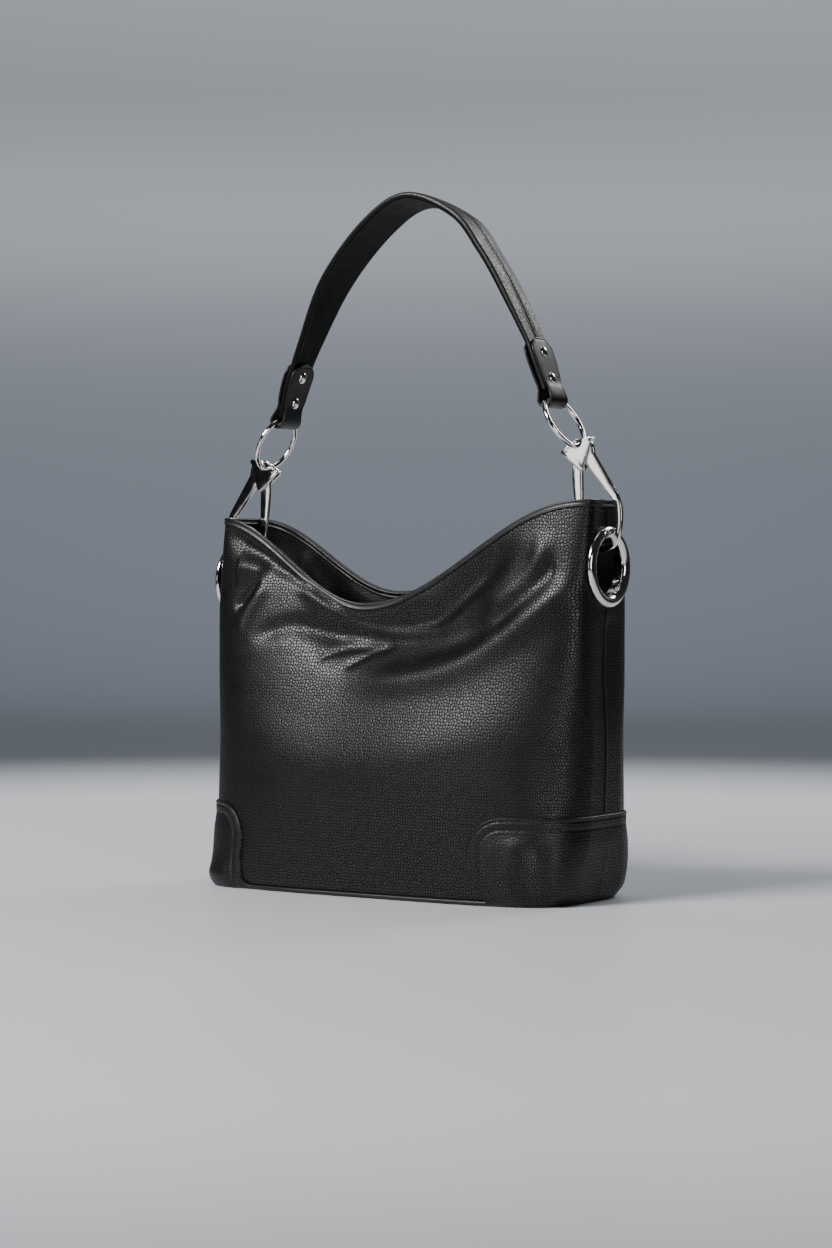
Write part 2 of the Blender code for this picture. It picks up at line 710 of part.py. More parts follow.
def make_hooks():
    near = HOOK_HALF_THICK + GAP
    far = near + PLATE_THICK
    for hand, word in ((RIGHT, "right"), (LEFT, "left")):
        eye = on_hand([EYE], hand)[0]
        pivot = on_hand([GATE_PIVOT], hand)[0]
        pivot_point = hook_point(GATE_PIVOT, hand)
        bar = hook_point((HOOK_BAR_X, HOOK_BAR_Z), hand)
        flat_plate(
            f"{word}_hook_frame", on_hand(hook_frame_outline(), hand), [(eye, EYE_HOLE)],
            -HOOK_HALF_THICK, HOOK_HALF_THICK, POLISHED_NICKEL, bar,
        )
        plate = on_hand(plate_outline(), hand)
        pin_hole = [(pivot, PIN_RADIUS + GAP)]
        flat_plate(f"{word}_hook_front_plate", plate, pin_hole, -far, -near, POLISHED_NICKEL, bar)
        flat_plate(f"{word}_hook_back_plate", plate, pin_hole, near, far, POLISHED_NICKEL, bar)
        flat_plate(
            f"{word}_hook_gate", on_hand(gate_outline(), hand), pin_hole,
            -HOOK_HALF_THICK, HOOK_HALF_THICK, POLISHED_NICKEL, pivot_point,
        )
        end = far + GAP
        top = end + PIN_HEAD_THICK
        pin = [(0, -top), (PIN_HEAD_RADIUS, -top), (PIN_HEAD_RADIUS, -end), (PIN_RADIUS, -end)]
        pin += [(radius, -offset) for radius, offset in reversed(pin)]
        made = turned(f"{word}_gate_pin", pin, pivot_point, Vector((0, 1, 0)), POLISHED_NICKEL, 12)
        set_pivot(made, bar)


# ---------------------------------------------------------------- rings, strap and tabs


def ring_lean(hand):
    """Direction from the hook's eye up through the ring's centre."""
    lean = RING_LEAN[hand]
    return Vector((-hand * math.sin(lean), 0, math.cos(lean)))


def ring_centre(hand):
    return hook_point(EYE, hand) + ring_lean(hand) * RING_RADIUS


def make_rings():
    sides, segments = 8, 28
    for hand, word in ((RIGHT, "right"), (LEFT, "left")):
        centre, up = ring_centre(hand), ring_lean(hand)
        across = Vector((0, 1, 0))
        axis = up.cross(across).normalized()
        rings = []
        for i in range(segments):
            turn = 2 * math.pi * i / segments
            spoke = across * math.cos(turn) + up * math.sin(turn)
            ring = []
            for k in range(sides):
                angle = 2 * math.pi * k / sides
                out = spoke * (RING_RADIUS + RING_WIRE * math.cos(angle))
                ring.append(out + axis * RING_WIRE * math.sin(angle))
            rings.append(ring)
        made = tube(f"{word}_ring", rings, POLISHED_NICKEL, closed=True)
        made.location = centre


def strap_curve():
    """Dense points of the strap's middle line with their distance along it."""
    points = [Vector((x * MM, 0, z * MM)) for x, z in STRAP_POINTS]
    first = points[0] * 2 - points[1]
    last = points[-1] * 2 - points[-2]
    held = [first] + points + [last]
    dense, steps = [], 12
    for a, b, c, d in zip(held, held[1:], held[2:], held[3:]):
        for i in range(steps):
            t = i / steps
            bend = (2 * a - 5 * b + 4 * c - d) * t**2
            twist = (3 * b - a - 3 * c + d) * t**3
            dense.append(0.5 * (2 * b + (c - a) * t + bend + twist))
    dense.append(points[-1])
    run, table = 0.0, [(0.0, dense[0])]
    for before, after in zip(dense, dense[1:]):
        run += (after - before).length
        table.append((run, after))
    return table


STRAP_LINE = strap_curve()
STRAP_LENGTH = STRAP_LINE[-1][0]


def strap_frame(distance):
    """Point, direction and outward normal on the strap's middle line."""

    def at(run):
        low = 0
        while low < len(STRAP_LINE) - 2 and STRAP_LINE[low + 1][0] < run:
            low += 1
        (r0, p0), (r1, p1) = STRAP_LINE[low], STRAP_LINE[low + 1]
        return p0.lerp(p1, (run - r0) / (r1 - r0))

    reach = 3 * MM
    ahead, behind = at(distance + reach), at(distance - reach)
    run = (ahead - behind).normalized()
    return at(distance), run, Vector((-run.z, 0, run.x))


def strap_width(distance):
    """The strap widens from its ends to its neck, then steadily less to the shoulder."""
    from_end = min(distance, STRAP_LENGTH - distance)
    neck = (STRAP_NECK_WIDTH - STRAP_END_WIDTH) * smoothstep(from_end / (26 * MM))
    level = min(max((from_end - 40 * MM) / (STRAP_LENGTH / 2 - 40 * MM), 0), 1)
    climb = 1 - (1 - level) ** 2.2
    return STRAP_END_WIDTH + neck + (STRAP_SHOULDER_WIDTH - STRAP_NECK_WIDTH) * climb


def make_strap(rivet_guides):
    segments = 36
    half_gap = GAP / 2
    layers = [
        ("strap_outer", half_gap, half_gap + STRAP_LAYER, BLACK_LEATHER),
        ("strap_lining", -half_gap - STRAP_LAYER, -half_gap, EDGE_LEATHER),
    ]
    for name, low, high, look in layers:
        rings = []
        for i in range(segments + 1):
            distance = STRAP_LENGTH * i / segments
            point, _, outward = strap_frame(distance)
            half = Vector((0, strap_width(distance) / 2, 0))
            rings.append([
                point - half + outward * low, point + half + outward * low,
                point + half + outward * high, point - half + outward * high,
            ])
        layer = tube(name, rings, look)
        for guide in rivet_guides:
            cut(layer, guide)


def tab_spine(hand):
    """The line inside a tab, from its loop's centre up the strap: a function of distance."""
    loop_centre = ring_centre(hand) + ring_lean(hand) * (RING_RADIUS - 1.9 * MM)
    end = STRAP_LINE[-1][1] if hand == RIGHT else STRAP_LINE[0][1]
    lead = (end - loop_centre).length

    def spine(distance):
        if distance < lead:
            run = (end - loop_centre).normalized()
            point = loop_centre + run * distance
        else:
            on_strap = distance - lead
            at = STRAP_LENGTH - on_strap if hand == RIGHT else on_strap
            point, along, _ = strap_frame(at)
            run = -along if hand == RIGHT else along
        outward = Vector((run.z, 0, -run.x)) * hand
        return point, run, outward

    return spine


def leaf_offset(distance):
    """Half the spread between a tab's two leaves."""
    flat = STRAP_LAYER + 1.5 * GAP + TAB_THICK / 2
    return flat + (TAB_LOOP - flat) * (1 - smoothstep(distance / (14 * MM)))


def tab_width(distance):
    width = curve_value(TAB_WIDTHS, distance / MM) * MM
    into_end = (distance - (TAB_LENGTH - TAB_ROUND_END)) / TAB_ROUND_END
    if into_end > 0:
        width *= math.sqrt(max(1 - into_end**2, 0.06))
    return width


def make_tabs(rivet_guides):
    for hand, word in ((RIGHT, "right"), (LEFT, "left")):
        spine = tab_spine(hand)
        rings = []

        def add(centre, outward, width):
            half = Vector((0, width / 2, 0))
            thick = outward * TAB_THICK / 2
            near, far = centre - thick, centre + thick
            rings.append([near - half, near + half, far + half, far - half])

        for stop in TAB_LEAF_STOPS:
            point, _, outward = spine(stop * MM)
            add(point + outward * leaf_offset(stop * MM), outward, tab_width(stop * MM))
        foot, run, outward = spine(0)
        bends = 8
        for i in range(bends + 1):
            angle = math.pi * i / bends
            spoke = outward * math.cos(angle) - run * math.sin(angle)
            add(foot + spoke * TAB_LOOP, spoke, tab_width(0))
        for stop in reversed(TAB_LEAF_STOPS):
            point, _, outward = spine(stop * MM)
            add(point - outward * leaf_offset(stop * MM), -outward, tab_width(stop * MM))
        tab = tube(f"{word}_tab", rings, EDGE_LEATHER)
        for guide in rivet_guides:
            cut(tab, guide)


def rivet_place(hand, station):
    point, _, outward = tab_spine(hand)(station)
    return point, outward, leaf_offset(station) + TAB_THICK / 2 + GAP


def make_rivet_guides():
    guides = []
    for hand, word in ((RIGHT, "right"), (LEFT, "left")):
        for level, station in RIVET_STATIONS.items():
            point, outward, _ = rivet_place(hand, station)
            name = f"guide_{word}_{level}_rivet"
            guides.append(guide_cylinder(name, point, outward, RIVET_SHANK + GAP, 24 * MM, 10))
    return guides


def make_rivets():
    for hand, word in ((RIGHT, "right"), (LEFT, "left")):
        for level, station in RIVET_STATIONS.items():
            point, outward, seat = rivet_place(hand, station)
            half = [
                (0, seat + RIVET_DOME),
                (RIVET_CAP * 0.7, seat + RIVET_DOME * 0.75),
                (RIVET_CAP, seat + 0.3 * MM),
                (RIVET_CAP, seat),
                (RIVET_SHANK, seat),
            ]
            profile = half + [(radius, -offset) for radius, offset in reversed(half)]
            turned(f"{word}_{level}_rivet", profile, point, outward, POLISHED_NICKEL, 16)


def main():
    clear_scene()
    make_walls(make_eyelet_guides())
    make_corner_patches()
    make_base()
    make_rim_binding()
    make_lining()
    make_pockets()
    make_snap()
    make_eyelets()
    make_hooks()
    make_rings()
    rivet_guides = make_rivet_guides()
    make_strap(rivet_guides)
    make_tabs(rivet_guides)
    make_rivets()
    swing_axis = hook_point(EYE, RIGHT)
    for made in bpy.data.objects:
        if made.name.startswith("strap_") or made.name.endswith(("_tab", "_rivet")):
            if not made.name.startswith("guide_"):
                set_pivot(made, swing_axis)


main()
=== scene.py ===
"""Looks of a black pebbled-leather shoulder bag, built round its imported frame."""

import math

import bpy
import numpy as np
from mathutils import Matrix, Vector


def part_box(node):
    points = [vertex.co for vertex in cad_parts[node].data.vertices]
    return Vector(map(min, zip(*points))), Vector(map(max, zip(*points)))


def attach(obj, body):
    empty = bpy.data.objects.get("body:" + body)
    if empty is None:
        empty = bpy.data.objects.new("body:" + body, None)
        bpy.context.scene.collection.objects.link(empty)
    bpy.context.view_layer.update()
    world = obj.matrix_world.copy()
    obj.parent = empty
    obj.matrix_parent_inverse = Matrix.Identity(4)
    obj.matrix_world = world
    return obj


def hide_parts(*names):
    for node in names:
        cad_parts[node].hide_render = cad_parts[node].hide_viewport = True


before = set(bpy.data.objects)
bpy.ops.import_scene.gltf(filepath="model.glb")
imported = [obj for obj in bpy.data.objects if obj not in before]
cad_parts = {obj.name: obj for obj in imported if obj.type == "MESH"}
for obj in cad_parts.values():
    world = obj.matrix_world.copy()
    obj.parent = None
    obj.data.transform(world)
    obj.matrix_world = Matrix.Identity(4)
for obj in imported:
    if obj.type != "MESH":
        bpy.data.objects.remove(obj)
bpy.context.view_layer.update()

MM = 0.001
FRONT, BACK = -1, 1
RIGHT, LEFT = 1, -1
SIDES = {"front": FRONT, "back": BACK}
HANDS = {"right": RIGHT, "left": LEFT}

# Body sections by share of the rim's height, the same knots as the solid model's
SEAM_HALF_WIDTH = [(0, 158), (0.04, 165), (0.2, 172), (0.45, 174), (1, 174)]
OVAL_HALF_WIDTH = [(0, 158), (0.04, 166), (0.2, 173), (0.45, 176), (0.7, 181), (0.85, 182), (1, 182)]
OVAL_HALF_DEPTH = [(0, 70), (0.04, 75), (0.2, 77), (0.42, 73), (0.6, 61), (0.83, 44), (1, 32)]
CORNER_SOFTNESS = 8.0  # rounds the wall where it turns into its flat ends
OVAL_POWER = [(0, 4.2), (0.04, 4.4), (0.2, 3.3), (0.42, 3.0), (0.62, 3.4), (0.83, 4.6), (1, 5.2)]
RIM_LOW_X = {FRONT: -28, BACK: -36}
RIM_LOW_Z = {FRONT: 229, BACK: 238}
RIM_SEAM_Z = {RIGHT: 309, LEFT: 298}
RIM_SEAM_X = 174

# Leather layers, as depths behind the outer surface in mm
PANEL = (0.0, 1.8)
FACING = (2.2, 3.4)
LINING = (2.2, 3.0)
POCKET = (3.4, 4.2)
FACING_BOTTOM = 188
PATCH_TOP = 68
PATCH_WIDTH = {RIGHT: 126, LEFT: 98}
PATCH_FOOT_TUCK = {RIGHT: 20, LEFT: 0}
PATCH_CORNER = 30
PATCH_STITCHES = {"edge": 3.2, "inner": 9.6}
POCKET_TOP = 160
SNAP_Z = 205
PIPING_RADIUS = 1.6 * MM
EYELET_CUT = 24.2  # radius of the holes for the eyelets
EYELET_SIDE = 150 * MM  # only leather further out than this can meet an eyelet
EYELET_CLEAR = 31.5  # seams stop this far from an eyelet's axis

# Thread stitches: spacing, length and thickness, and (place along, girth, dip) of each ring
STITCH_PITCH, STITCH_LENGTH, STITCH_THICK = 3.4 * MM, 2.7 * MM, 0.62 * MM
STITCH_SHAPE = [
    (-1.0, 0.35, -0.9), (-0.82, 0.8, -0.35), (-0.3, 1.0, 0.1), (0.3, 1.0, 0.1), (0.82, 0.8, -0.35),
    (1.0, 0.35, -0.9),
]

EYELET_CENTRE = {
    hand: sum(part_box(f"{word}_eyelet"), Vector()) / 2 for word, hand in HANDS.items()
}

# How finely the wall is sampled
WALL_COLUMNS = 261
WALL_ROWS = 141


# ---------------------------------------------------------------- helpers


def smoothstep(value):
    value = np.clip(value, 0.0, 1.0)
    return value * value * (3 - 2 * value)


def curve_value(knots, at):
    """Smooth curve through (position, value) knots, flat wherever the values turn."""
    slopes = [(b[1] - a[1]) / (b[0] - a[0]) for a, b in zip(knots, knots[1:])]
    tangents = [slopes[0]]
    for before, after in zip(slopes, slopes[1:]):
        together = before * after > 0
        tangents.append(2 * before * after / (before + after) if together else 0.0)
    tangents.append(slopes[-1])
    index = 0
    while index < len(knots) - 2 and at > knots[index + 1][0]:
        index += 1
    (x0, y0), (x1, y1) = knots[index], knots[index + 1]
    step = x1 - x0
    t = min(max((at - x0) / step, 0.0), 1.0)
    bow = t * (1 - t) * (step * tangents[index] * (1 - t) - step * tangents[index + 1] * t)
    return y0 + (y1 - y0) * t * t * (3 - 2 * t) + bow


def run_along(points):
    """Distance from the first point of a line to each of its points."""
    return np.r_[0, np.cumsum(np.linalg.norm(np.diff(points, axis=0), axis=1))]


def turns(count):
    return np.linspace(0, 2 * math.pi, count, endpoint=False)


def spline(points, count):
    """Points evenly spread along a smooth curve through the given ones."""
    held = np.array(points, float)
    held = np.vstack([2 * held[0] - held[1], held, 2 * held[-1] - held[-2]])
    dense = []
    for a, b, c, d in zip(held, held[1:], held[2:], held[3:]):
        t = np.linspace(0, 1, 24, endpoint=False)[:, None]
        ease = (3 * b - a - 3 * c + d) * t**3
        dense.append(0.5 * (2 * b + (c - a) * t + (2 * a - 5 * b + 4 * c - d) * t**2 + ease))
    dense = np.vstack(dense + [held[-2:-1]])
    run = run_along(dense)
    wanted = np.linspace(0, run[-1], count)
    return np.stack([np.interp(wanted, run, dense[:, k]) for k in range(dense.shape[1])], 1)


def unit(vectors):
    return vectors / np.maximum(np.linalg.norm(vectors, axis=-1, keepdims=True), 1e-12)


def finish_piece(made, look, body, replaces, smooth_angle):
    """Shades a linked mesh piece, gives it its look and lets it ride on its body."""
    mesh = made.data
    mesh.materials.clear()
    mesh.materials.append(look)
    mesh.shade_smooth()
    mesh.set_sharp_from_angle(angle=math.radians(smooth_angle))
    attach(made, body)
    if replaces:
        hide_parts(*replaces)


def linked(name, data, place=(0, 0, 0), aim=None):
    """A new object in the scene, turned so that its -Z looks along aim if that is given."""
    made = bpy.data.objects.new(name, data)
    made.location = place
    if aim is not None:
        made.rotation_mode = "QUATERNION"
        made.rotation_quaternion = Vector(aim).to_track_quat("-Z", "Y")
    bpy.context.scene.collection.objects.link(made)
    return made


def mesh_object(name, shape, look, replaces=(), body="bag_body", smooth_angle=45):
    """A mesh piece from its (points, faces), on a body, standing in for CAD nodes."""
    points, faces = shape
    mesh = bpy.data.meshes.new(name)
    mesh.from_pydata([tuple(p) for p in np.asarray(points)], [], [tuple(f) for f in faces])
    mesh.validate()
    finish_piece(linked(name, mesh), look, body, replaces, smooth_angle)


def grid_cells(rows, columns, wrap=False):
    """Vertex indices of each quad of a grid stored row by row."""
    across = columns if wrap else columns - 1
    i, j = np.meshgrid(np.arange(rows - 1), np.arange(across), indexing="ij")
    right = (j + 1) % columns
    cells = [i * columns + j, i * columns + right, (i + 1) * columns + right, (i + 1) * columns + j]
    return np.stack(cells, -1).reshape(-1, 4)


def thick_sheet(outer, inner, keep=None, wrap=False):
    """Points and faces of a closed solid between two matching grids. keep marks the quads
    that stay, so that a hole gets its own edge."""
    rows, columns = outer.shape[:2]
    count = rows * columns
    cells = grid_cells(rows, columns, wrap)
    if keep is not None:
        cells = cells[keep]
    starts, ends = cells.ravel(), np.roll(cells, -1, axis=1).ravel()
    forward, backward = starts * count + ends, ends * count + starts
    loose = ~np.isin(forward, backward)
    a, b = starts[loose], ends[loose]
    walls = np.stack([b, a, a + count, b + count], 1)
    faces = np.vstack([cells, cells[:, ::-1] + count, walls])
    points = np.vstack([outer.reshape(-1, 3), inner.reshape(-1, 3)])
    used = np.unique(faces)
    renumber = np.full(len(points), -1)
    renumber[used] = np.arange(len(used))
    return points[used], renumber[faces]


def tube_faces(rings, closed):
    """Points and faces of a tube through matching rings, capped unless it is closed."""
    rings = np.asarray(rings)
    rows, columns = rings.shape[:2]
    looped = np.concatenate([rings, rings[:1]]) if closed else rings
    cells = grid_cells(len(looped), columns, wrap=True) % (rows * columns)
    faces = [tuple(c) for c in cells]
    if not closed:
        faces.append(tuple(range(columns))[::-1])
        faces.append(tuple(range((rows - 1) * columns, rows * columns)))
    return rings.reshape(-1, 3), faces


def lathe(profile, centre, axis, segments=72, closed=True):
    """Points and faces of a turned shape. The profile is (radius, offset along the axis)."""
    axis = Vector(axis).normalized()
    across = axis.orthogonal().normalized()
    third = axis.cross(across)
    turn = turns(segments)
    spokes = np.outer(np.cos(turn), across) + np.outer(np.sin(turn), third)
    rings = [np.array(centre) + offset * np.array(axis) + radius * spokes for radius, offset in profile]
    return tube_faces(rings, closed)


# ---------------------------------------------------------------- materials


def grey(level, blue=1.0):
    return (level, level, level * blue, 1)


class Graph:
    """A new material's nodes, with short ways to add them and to feed its shader."""

    def __init__(self, name):
        self.material = bpy.data.materials.new(name)
        self.material.use_nodes = True
        self.tree = self.material.node_tree
        self.shader = self.tree.nodes["Principled BSDF"]

    def put(self, socket, value):
        if isinstance(value, bpy.types.NodeSocket):
            self.tree.links.new(value, socket)
        else:
            socket.default_value = value

    def feed(self, name, value):
        """Sets or links one of the shader's inputs."""
        self.put(self.shader.inputs[name], value)

    def add(self, kind, settings=None, **values):
        """A node with its settings and inputs. An input is named, or numbered as i0, i1 and so on."""
        made = self.tree.nodes.new(kind)
        for key, value in (settings or {}).items():
            setattr(made, key, value)
        for key, value in values.items():
            numbered = key[0] == "i" and key[1:].isdigit()
            self.put(made.inputs[int(key[1:])] if numbered else made.inputs[key], value)
        return made

    def where(self, scale=(1, 1, 1)):
        place = self.add("ShaderNodeTexCoord").outputs["Object"]
        return self.add("ShaderNodeMapping", Vector=place, Scale=scale).outputs[0]

    def maths(self, operation, *values):
        inputs = {f"i{k}": value for k, value in enumerate(values)}
        return self.add("ShaderNodeMath", {"operation": operation}, **inputs).outputs[0]

    def plus(self, a, b):
        return self.maths("ADD", a, b)

    def times(self, a, b):
        return self.maths("MULTIPLY", a, b)

    def vector(self, operation, **inputs):
        return self.add("ShaderNodeVectorMath", {"operation": operation}, **inputs)

    def remap(self, value, low, high, to_low, to_high, smooth=False):
        kind = {"interpolation_type": "SMOOTHSTEP" if smooth else "LINEAR"}
        ends = {"From Min": low, "From Max": high, "To Min": to_low, "To Max": to_high}
        return self.add("ShaderNodeMapRange", kind, Value=value, **ends).outputs["Result"]

    def noise(self, where, scale, detail=3.0, roughness=0.5):
        settings = {"Scale": scale, "Detail": detail, "Roughness": roughness}
        return self.add("ShaderNodeTexNoise", Vector=where, **settings).outputs["Fac"]

    def mix(self, factor, low, high):
        kind = {"data_type": "RGBA"}
        return self.add("ShaderNodeMix", kind, i0=factor, i6=low, i7=high).outputs[2]

    def bump(self, height, strength, depth):
        made = self.add("ShaderNodeBump", Height=height, Strength=strength, Distance=depth)
        self.feed("Normal", made.outputs[0])


def pebbles(graph, where, cell, dimensions):
    """Height from 0 to 1 of rounded pebbles, and a mask that falls to 0 in the creases."""
    sway = graph.add("ShaderNodeTexNoise", Vector=where, Scale=220.0, Detail=1.0).outputs["Color"]
    shift = graph.vector("SCALE", i0=sway, Scale=0.35 * cell).outputs[0]
    moved = graph.vector("ADD", i0=where, i1=shift).outputs[0]
    layout = {"Vector": moved, "Scale": 1 / cell, "Randomness": 0.8}
    kind = {"voronoi_dimensions": dimensions}
    edges = graph.add("ShaderNodeTexVoronoi", {**kind, "feature": "DISTANCE_TO_EDGE"}, **layout)
    centres = graph.add("ShaderNodeTexVoronoi", {**kind, "feature": "F1"}, **layout)
    crease = graph.remap(edges.outputs["Distance"], 0.0, 0.3, 0.0, 1.0, smooth=True)
    away = centres.outputs["Distance"]
    dome = graph.maths("SUBTRACT", 1.0, graph.times(away, away))
    return graph.plus(graph.times(dome, 0.75), graph.times(crease, 0.25)), crease


def unrolled(graph, where):
    """A flat map of the wall: roughly the distance round it from the middle, and the height."""
    x, y, z = (graph.add("ShaderNodeSeparateXYZ", Vector=where).outputs[k] for k in "XYZ")
    half_depth = graph.remap(z, 0.06, 0.23, 0.077, 0.033, smooth=True)
    short_of_it = graph.maths("SUBTRACT", half_depth, graph.maths("ABSOLUTE", y))
    round_end = graph.maths("MAXIMUM", short_of_it, 0.0)
    off_middle = graph.maths("ABSOLUTE", x)
    share = graph.remap(off_middle, 0.02, 0.1, 0.0, 0.8, smooth=True)
    run = graph.plus(off_middle, graph.times(round_end, share))
    along = graph.times(run, graph.maths("SIGN", x))
    return graph.add("ShaderNodeCombineXYZ", X=along, Y=z).outputs[0]


def pebbled_leather(name, grain=1.0, cell=2.4 * MM, roughness=0.38, on_wall=True):
    """Full-grain look: rounded pebbles parted by duller creases, their colour darkened as painted shade."""
    graph = Graph(name)
    where = graph.where()
    if on_wall:
        pebble, crease = pebbles(graph, unrolled(graph, where), cell, "2D")
    else:
        pebble, crease = pebbles(graph, where, cell, "3D")
    pores = graph.noise(where, 2400.0)
    graph.bump(graph.plus(pebble, graph.times(pores, 0.05)), 1.0, 0.17 * MM * grain)
    colour = 0.001
    # painted shade: the colour falls to 40% in the creases between the pebbles
    graph.feed("Base Color", graph.mix(crease, grey(colour * 0.4), grey(colour, blue=1.03)))
    worn = graph.remap(graph.noise(where, 60.0), 0.3, 0.7, roughness - 0.03, roughness + 0.04)
    graph.feed("Roughness", graph.plus(worn, graph.remap(crease, 0.0, 1.0, 0.2, 0.0)))
    gloss = graph.remap(crease, 0.0, 1.0, 0.6 - 0.48 * grain, 0.6)
    graph.feed("Specular IOR Level", gloss)
    return graph.material


def smooth_leather(name, colour=0.0015, roughness=0.42, gloss=0.5):
    """Turned or painted edges and smooth straps: fine pores over a satin surface."""
    graph = Graph(name)
    where = graph.where()
    pores = graph.noise(where, 900.0, 4.0, 0.6)
    waves = graph.noise(where, 120.0, 2.0)
    graph.bump(graph.plus(pores, graph.times(waves, 0.8)), 0.25, 0.3 * MM)
    graph.feed("Specular IOR Level", gloss)
    graph.feed("Base Color", graph.mix(pores, grey(colour * 0.75), grey(colour * 1.15)))
    graph.feed("Roughness", graph.remap(waves, 0.3, 0.7, roughness - 0.05, roughness + 0.06))
    return graph.material


def woven_cloth(name):
    """Dark twill: two crossing waves that make a slanting weave."""
    graph = Graph(name)
    colour, pace = 0.012, 2 * math.pi / (0.55 * MM)
    parts = graph.add("ShaderNodeSeparateXYZ", Vector=graph.where()).outputs
    round_body = graph.plus(parts["X"], graph.times(parts["Y"], 0.9))
    warp = graph.maths("SINE", graph.times(round_body, pace))
    lean = graph.plus(round_body, parts["Z"])
    twill = graph.maths("SINE", graph.times(lean, pace / 2))
    graph.bump(graph.plus(graph.times(warp, 0.3), graph.times(twill, 0.7)), 0.5, 0.15 * MM)
    thread = graph.remap(twill, -1.0, 1.0, 0.0, 1.0)
    light = (colour * 1.2, colour * 1.18, colour * 1.15, 1)
    graph.feed("Base Color", graph.mix(thread, grey(colour * 0.6), light))
    graph.feed("Roughness", 0.85)
    graph.feed("Sheen Weight", 0.25)
    graph.feed("Sheen Roughness", 0.5)
    return graph.material


def polished_metal(name):
    """Nickel plate with faint polishing haze and hairline scratches."""
    graph = Graph(name)
    colour, roughness = (0.80, 0.785, 0.76, 1), 0.07
    haze = graph.noise(graph.where(), 140.0)
    scratches = graph.noise(graph.where((1, 1, 24)), 420.0, 4.0, 0.7)
    graph.feed("Roughness", graph.remap(haze, 0.35, 0.7, roughness, roughness + 0.07))
    graph.bump(scratches, 0.06, 0.1 * MM)
    dull = tuple(c * 0.9 for c in colour[:3]) + (1,)
    graph.feed("Base Color", graph.mix(haze, dull, colour))
    graph.feed("Metallic", 1.0)
    return graph.material


def waxed_thread(name):
    graph = Graph(name)
    colour = 0.012
    twist = graph.noise(graph.where(), 2400.0, 2.0)
    graph.bump(twist, 0.4, 0.1 * MM)
    graph.feed("Base Color", graph.mix(twist, grey(colour * 0.7), grey(colour * 1.6)))
    graph.feed("Roughness", 0.42)
    return graph.material


def pressed_board(name):
    graph = Graph(name)
    fibres = graph.noise(graph.where((1, 4, 1)), 300.0, 4.0)
    graph.feed("Base Color", graph.mix(fibres, grey(0.02), grey(0.05)))
    graph.feed("Roughness", 0.85)
    return graph.material


LEATHER = pebbled_leather("pebbled_leather")
PATCH_LEATHER = pebbled_leather("patch_leather", grain=0.9)
STRAP_LEATHER = pebbled_leather("strap_leather", grain=0.5, cell=1.6 * MM, roughness=0.36, on_wall=False)
BASE_LEATHER = pebbled_leather("base_leather", on_wall=False)
INNER_LEATHER = pebbled_leather("facing_leather", grain=0.8)
EDGE_LEATHER = smooth_leather("edge_leather")
STRAP_BACKING = smooth_leather("strap_backing", colour=0.0008, roughness=0.6, gloss=0.15)
TAB_LEATHER = smooth_leather("tab_leather", colour=0.0012, roughness=0.4, gloss=0.4)
CLOTH = woven_cloth("lining_cloth")
THREAD = waxed_thread("thread")
NICKEL = polished_metal("polished_nickel")
BOARD = pressed_board("base_board")


# ---------------------------------------------------------------- the wall's surface


def rim_height(x, side):
    """Height of the rim in mm, over the x of its own edge."""
    low_x = RIM_LOW_X[side]
    end = np.where(x > low_x, RIM_SEAM_X - 4, -RIM_SEAM_X)
    climb = np.clip(np.abs(x - low_x) / np.abs(end - low_x), 0, 1)
    seam_z = np.where(x > low_x, RIM_SEAM_Z[RIGHT], RIM_SEAM_Z[LEFT])
    return RIM_LOW_Z[side] + (seam_z - RIM_LOW_Z[side]) * (1 - np.cos(math.pi * climb)) / 2


def section(share, stations):
    """x and outward y in mm of the half outline at a share of the rim height."""
    half_width, half_depth = curve_value(OVAL_HALF_WIDTH, share), curve_value(OVAL_HALF_DEPTH, share)
    power, seam = curve_value(OVAL_POWER, share), curve_value(SEAM_HALF_WIDTH, share)
    turn = np.linspace(0, math.pi, 481)
    angle = np.arctan2(0.45 * np.sin(turn), np.cos(turn))
    c, s = np.cos(angle), np.sin(angle)
    radius = (np.abs(c / half_width) ** power + np.abs(s / half_depth) ** power) ** (-1 / power)
    x, y = radius * c, radius * s
    beyond = np.abs(x) - seam
    soft = CORNER_SOFTNESS * smoothstep((share - 0.4) / 0.3)
    eased = seam - 0.5 * (np.hypot(beyond, soft) - beyond)
    short = 0.5 * (np.hypot(half_width - seam, soft) - (half_width - seam))
    x = np.sign(x) * (eased + short * np.clip(np.abs(x) / seam, 0, 1) ** 4)
    run = run_along(np.stack([x, y], 1))
    wanted = stations * run[-1]
    return np.interp(wanted, run, x), np.interp(wanted, run, y)


def stroke(x, z, path, rise, reach, power):
    """A ridge, or a crease if rise is negative, along a path of (x, z) points in mm. It dies
    out over its reach to either side and over a quarter of its length at both ends."""
    fade = 0.25
    line = spline(path, 26)
    best = np.full(x.shape, 1e9)
    along = np.zeros(x.shape)
    for i, (a, b) in enumerate(zip(line, line[1:])):
        step = b - a
        t = np.clip(((x - a[0]) * step[0] + (z - a[1]) * step[1]) / (step @ step), 0, 1)
        distance = np.hypot(x - a[0] - t * step[0], z - a[1] - t * step[1])
        nearer = distance < best
        best = np.where(nearer, distance, best)
        along = np.where(nearer, (i + t) / (len(line) - 1), along)
    ends = smoothstep(along / fade) * smoothstep((1 - along) / fade)
    return rise * ends * np.exp(-((best / reach) ** power))


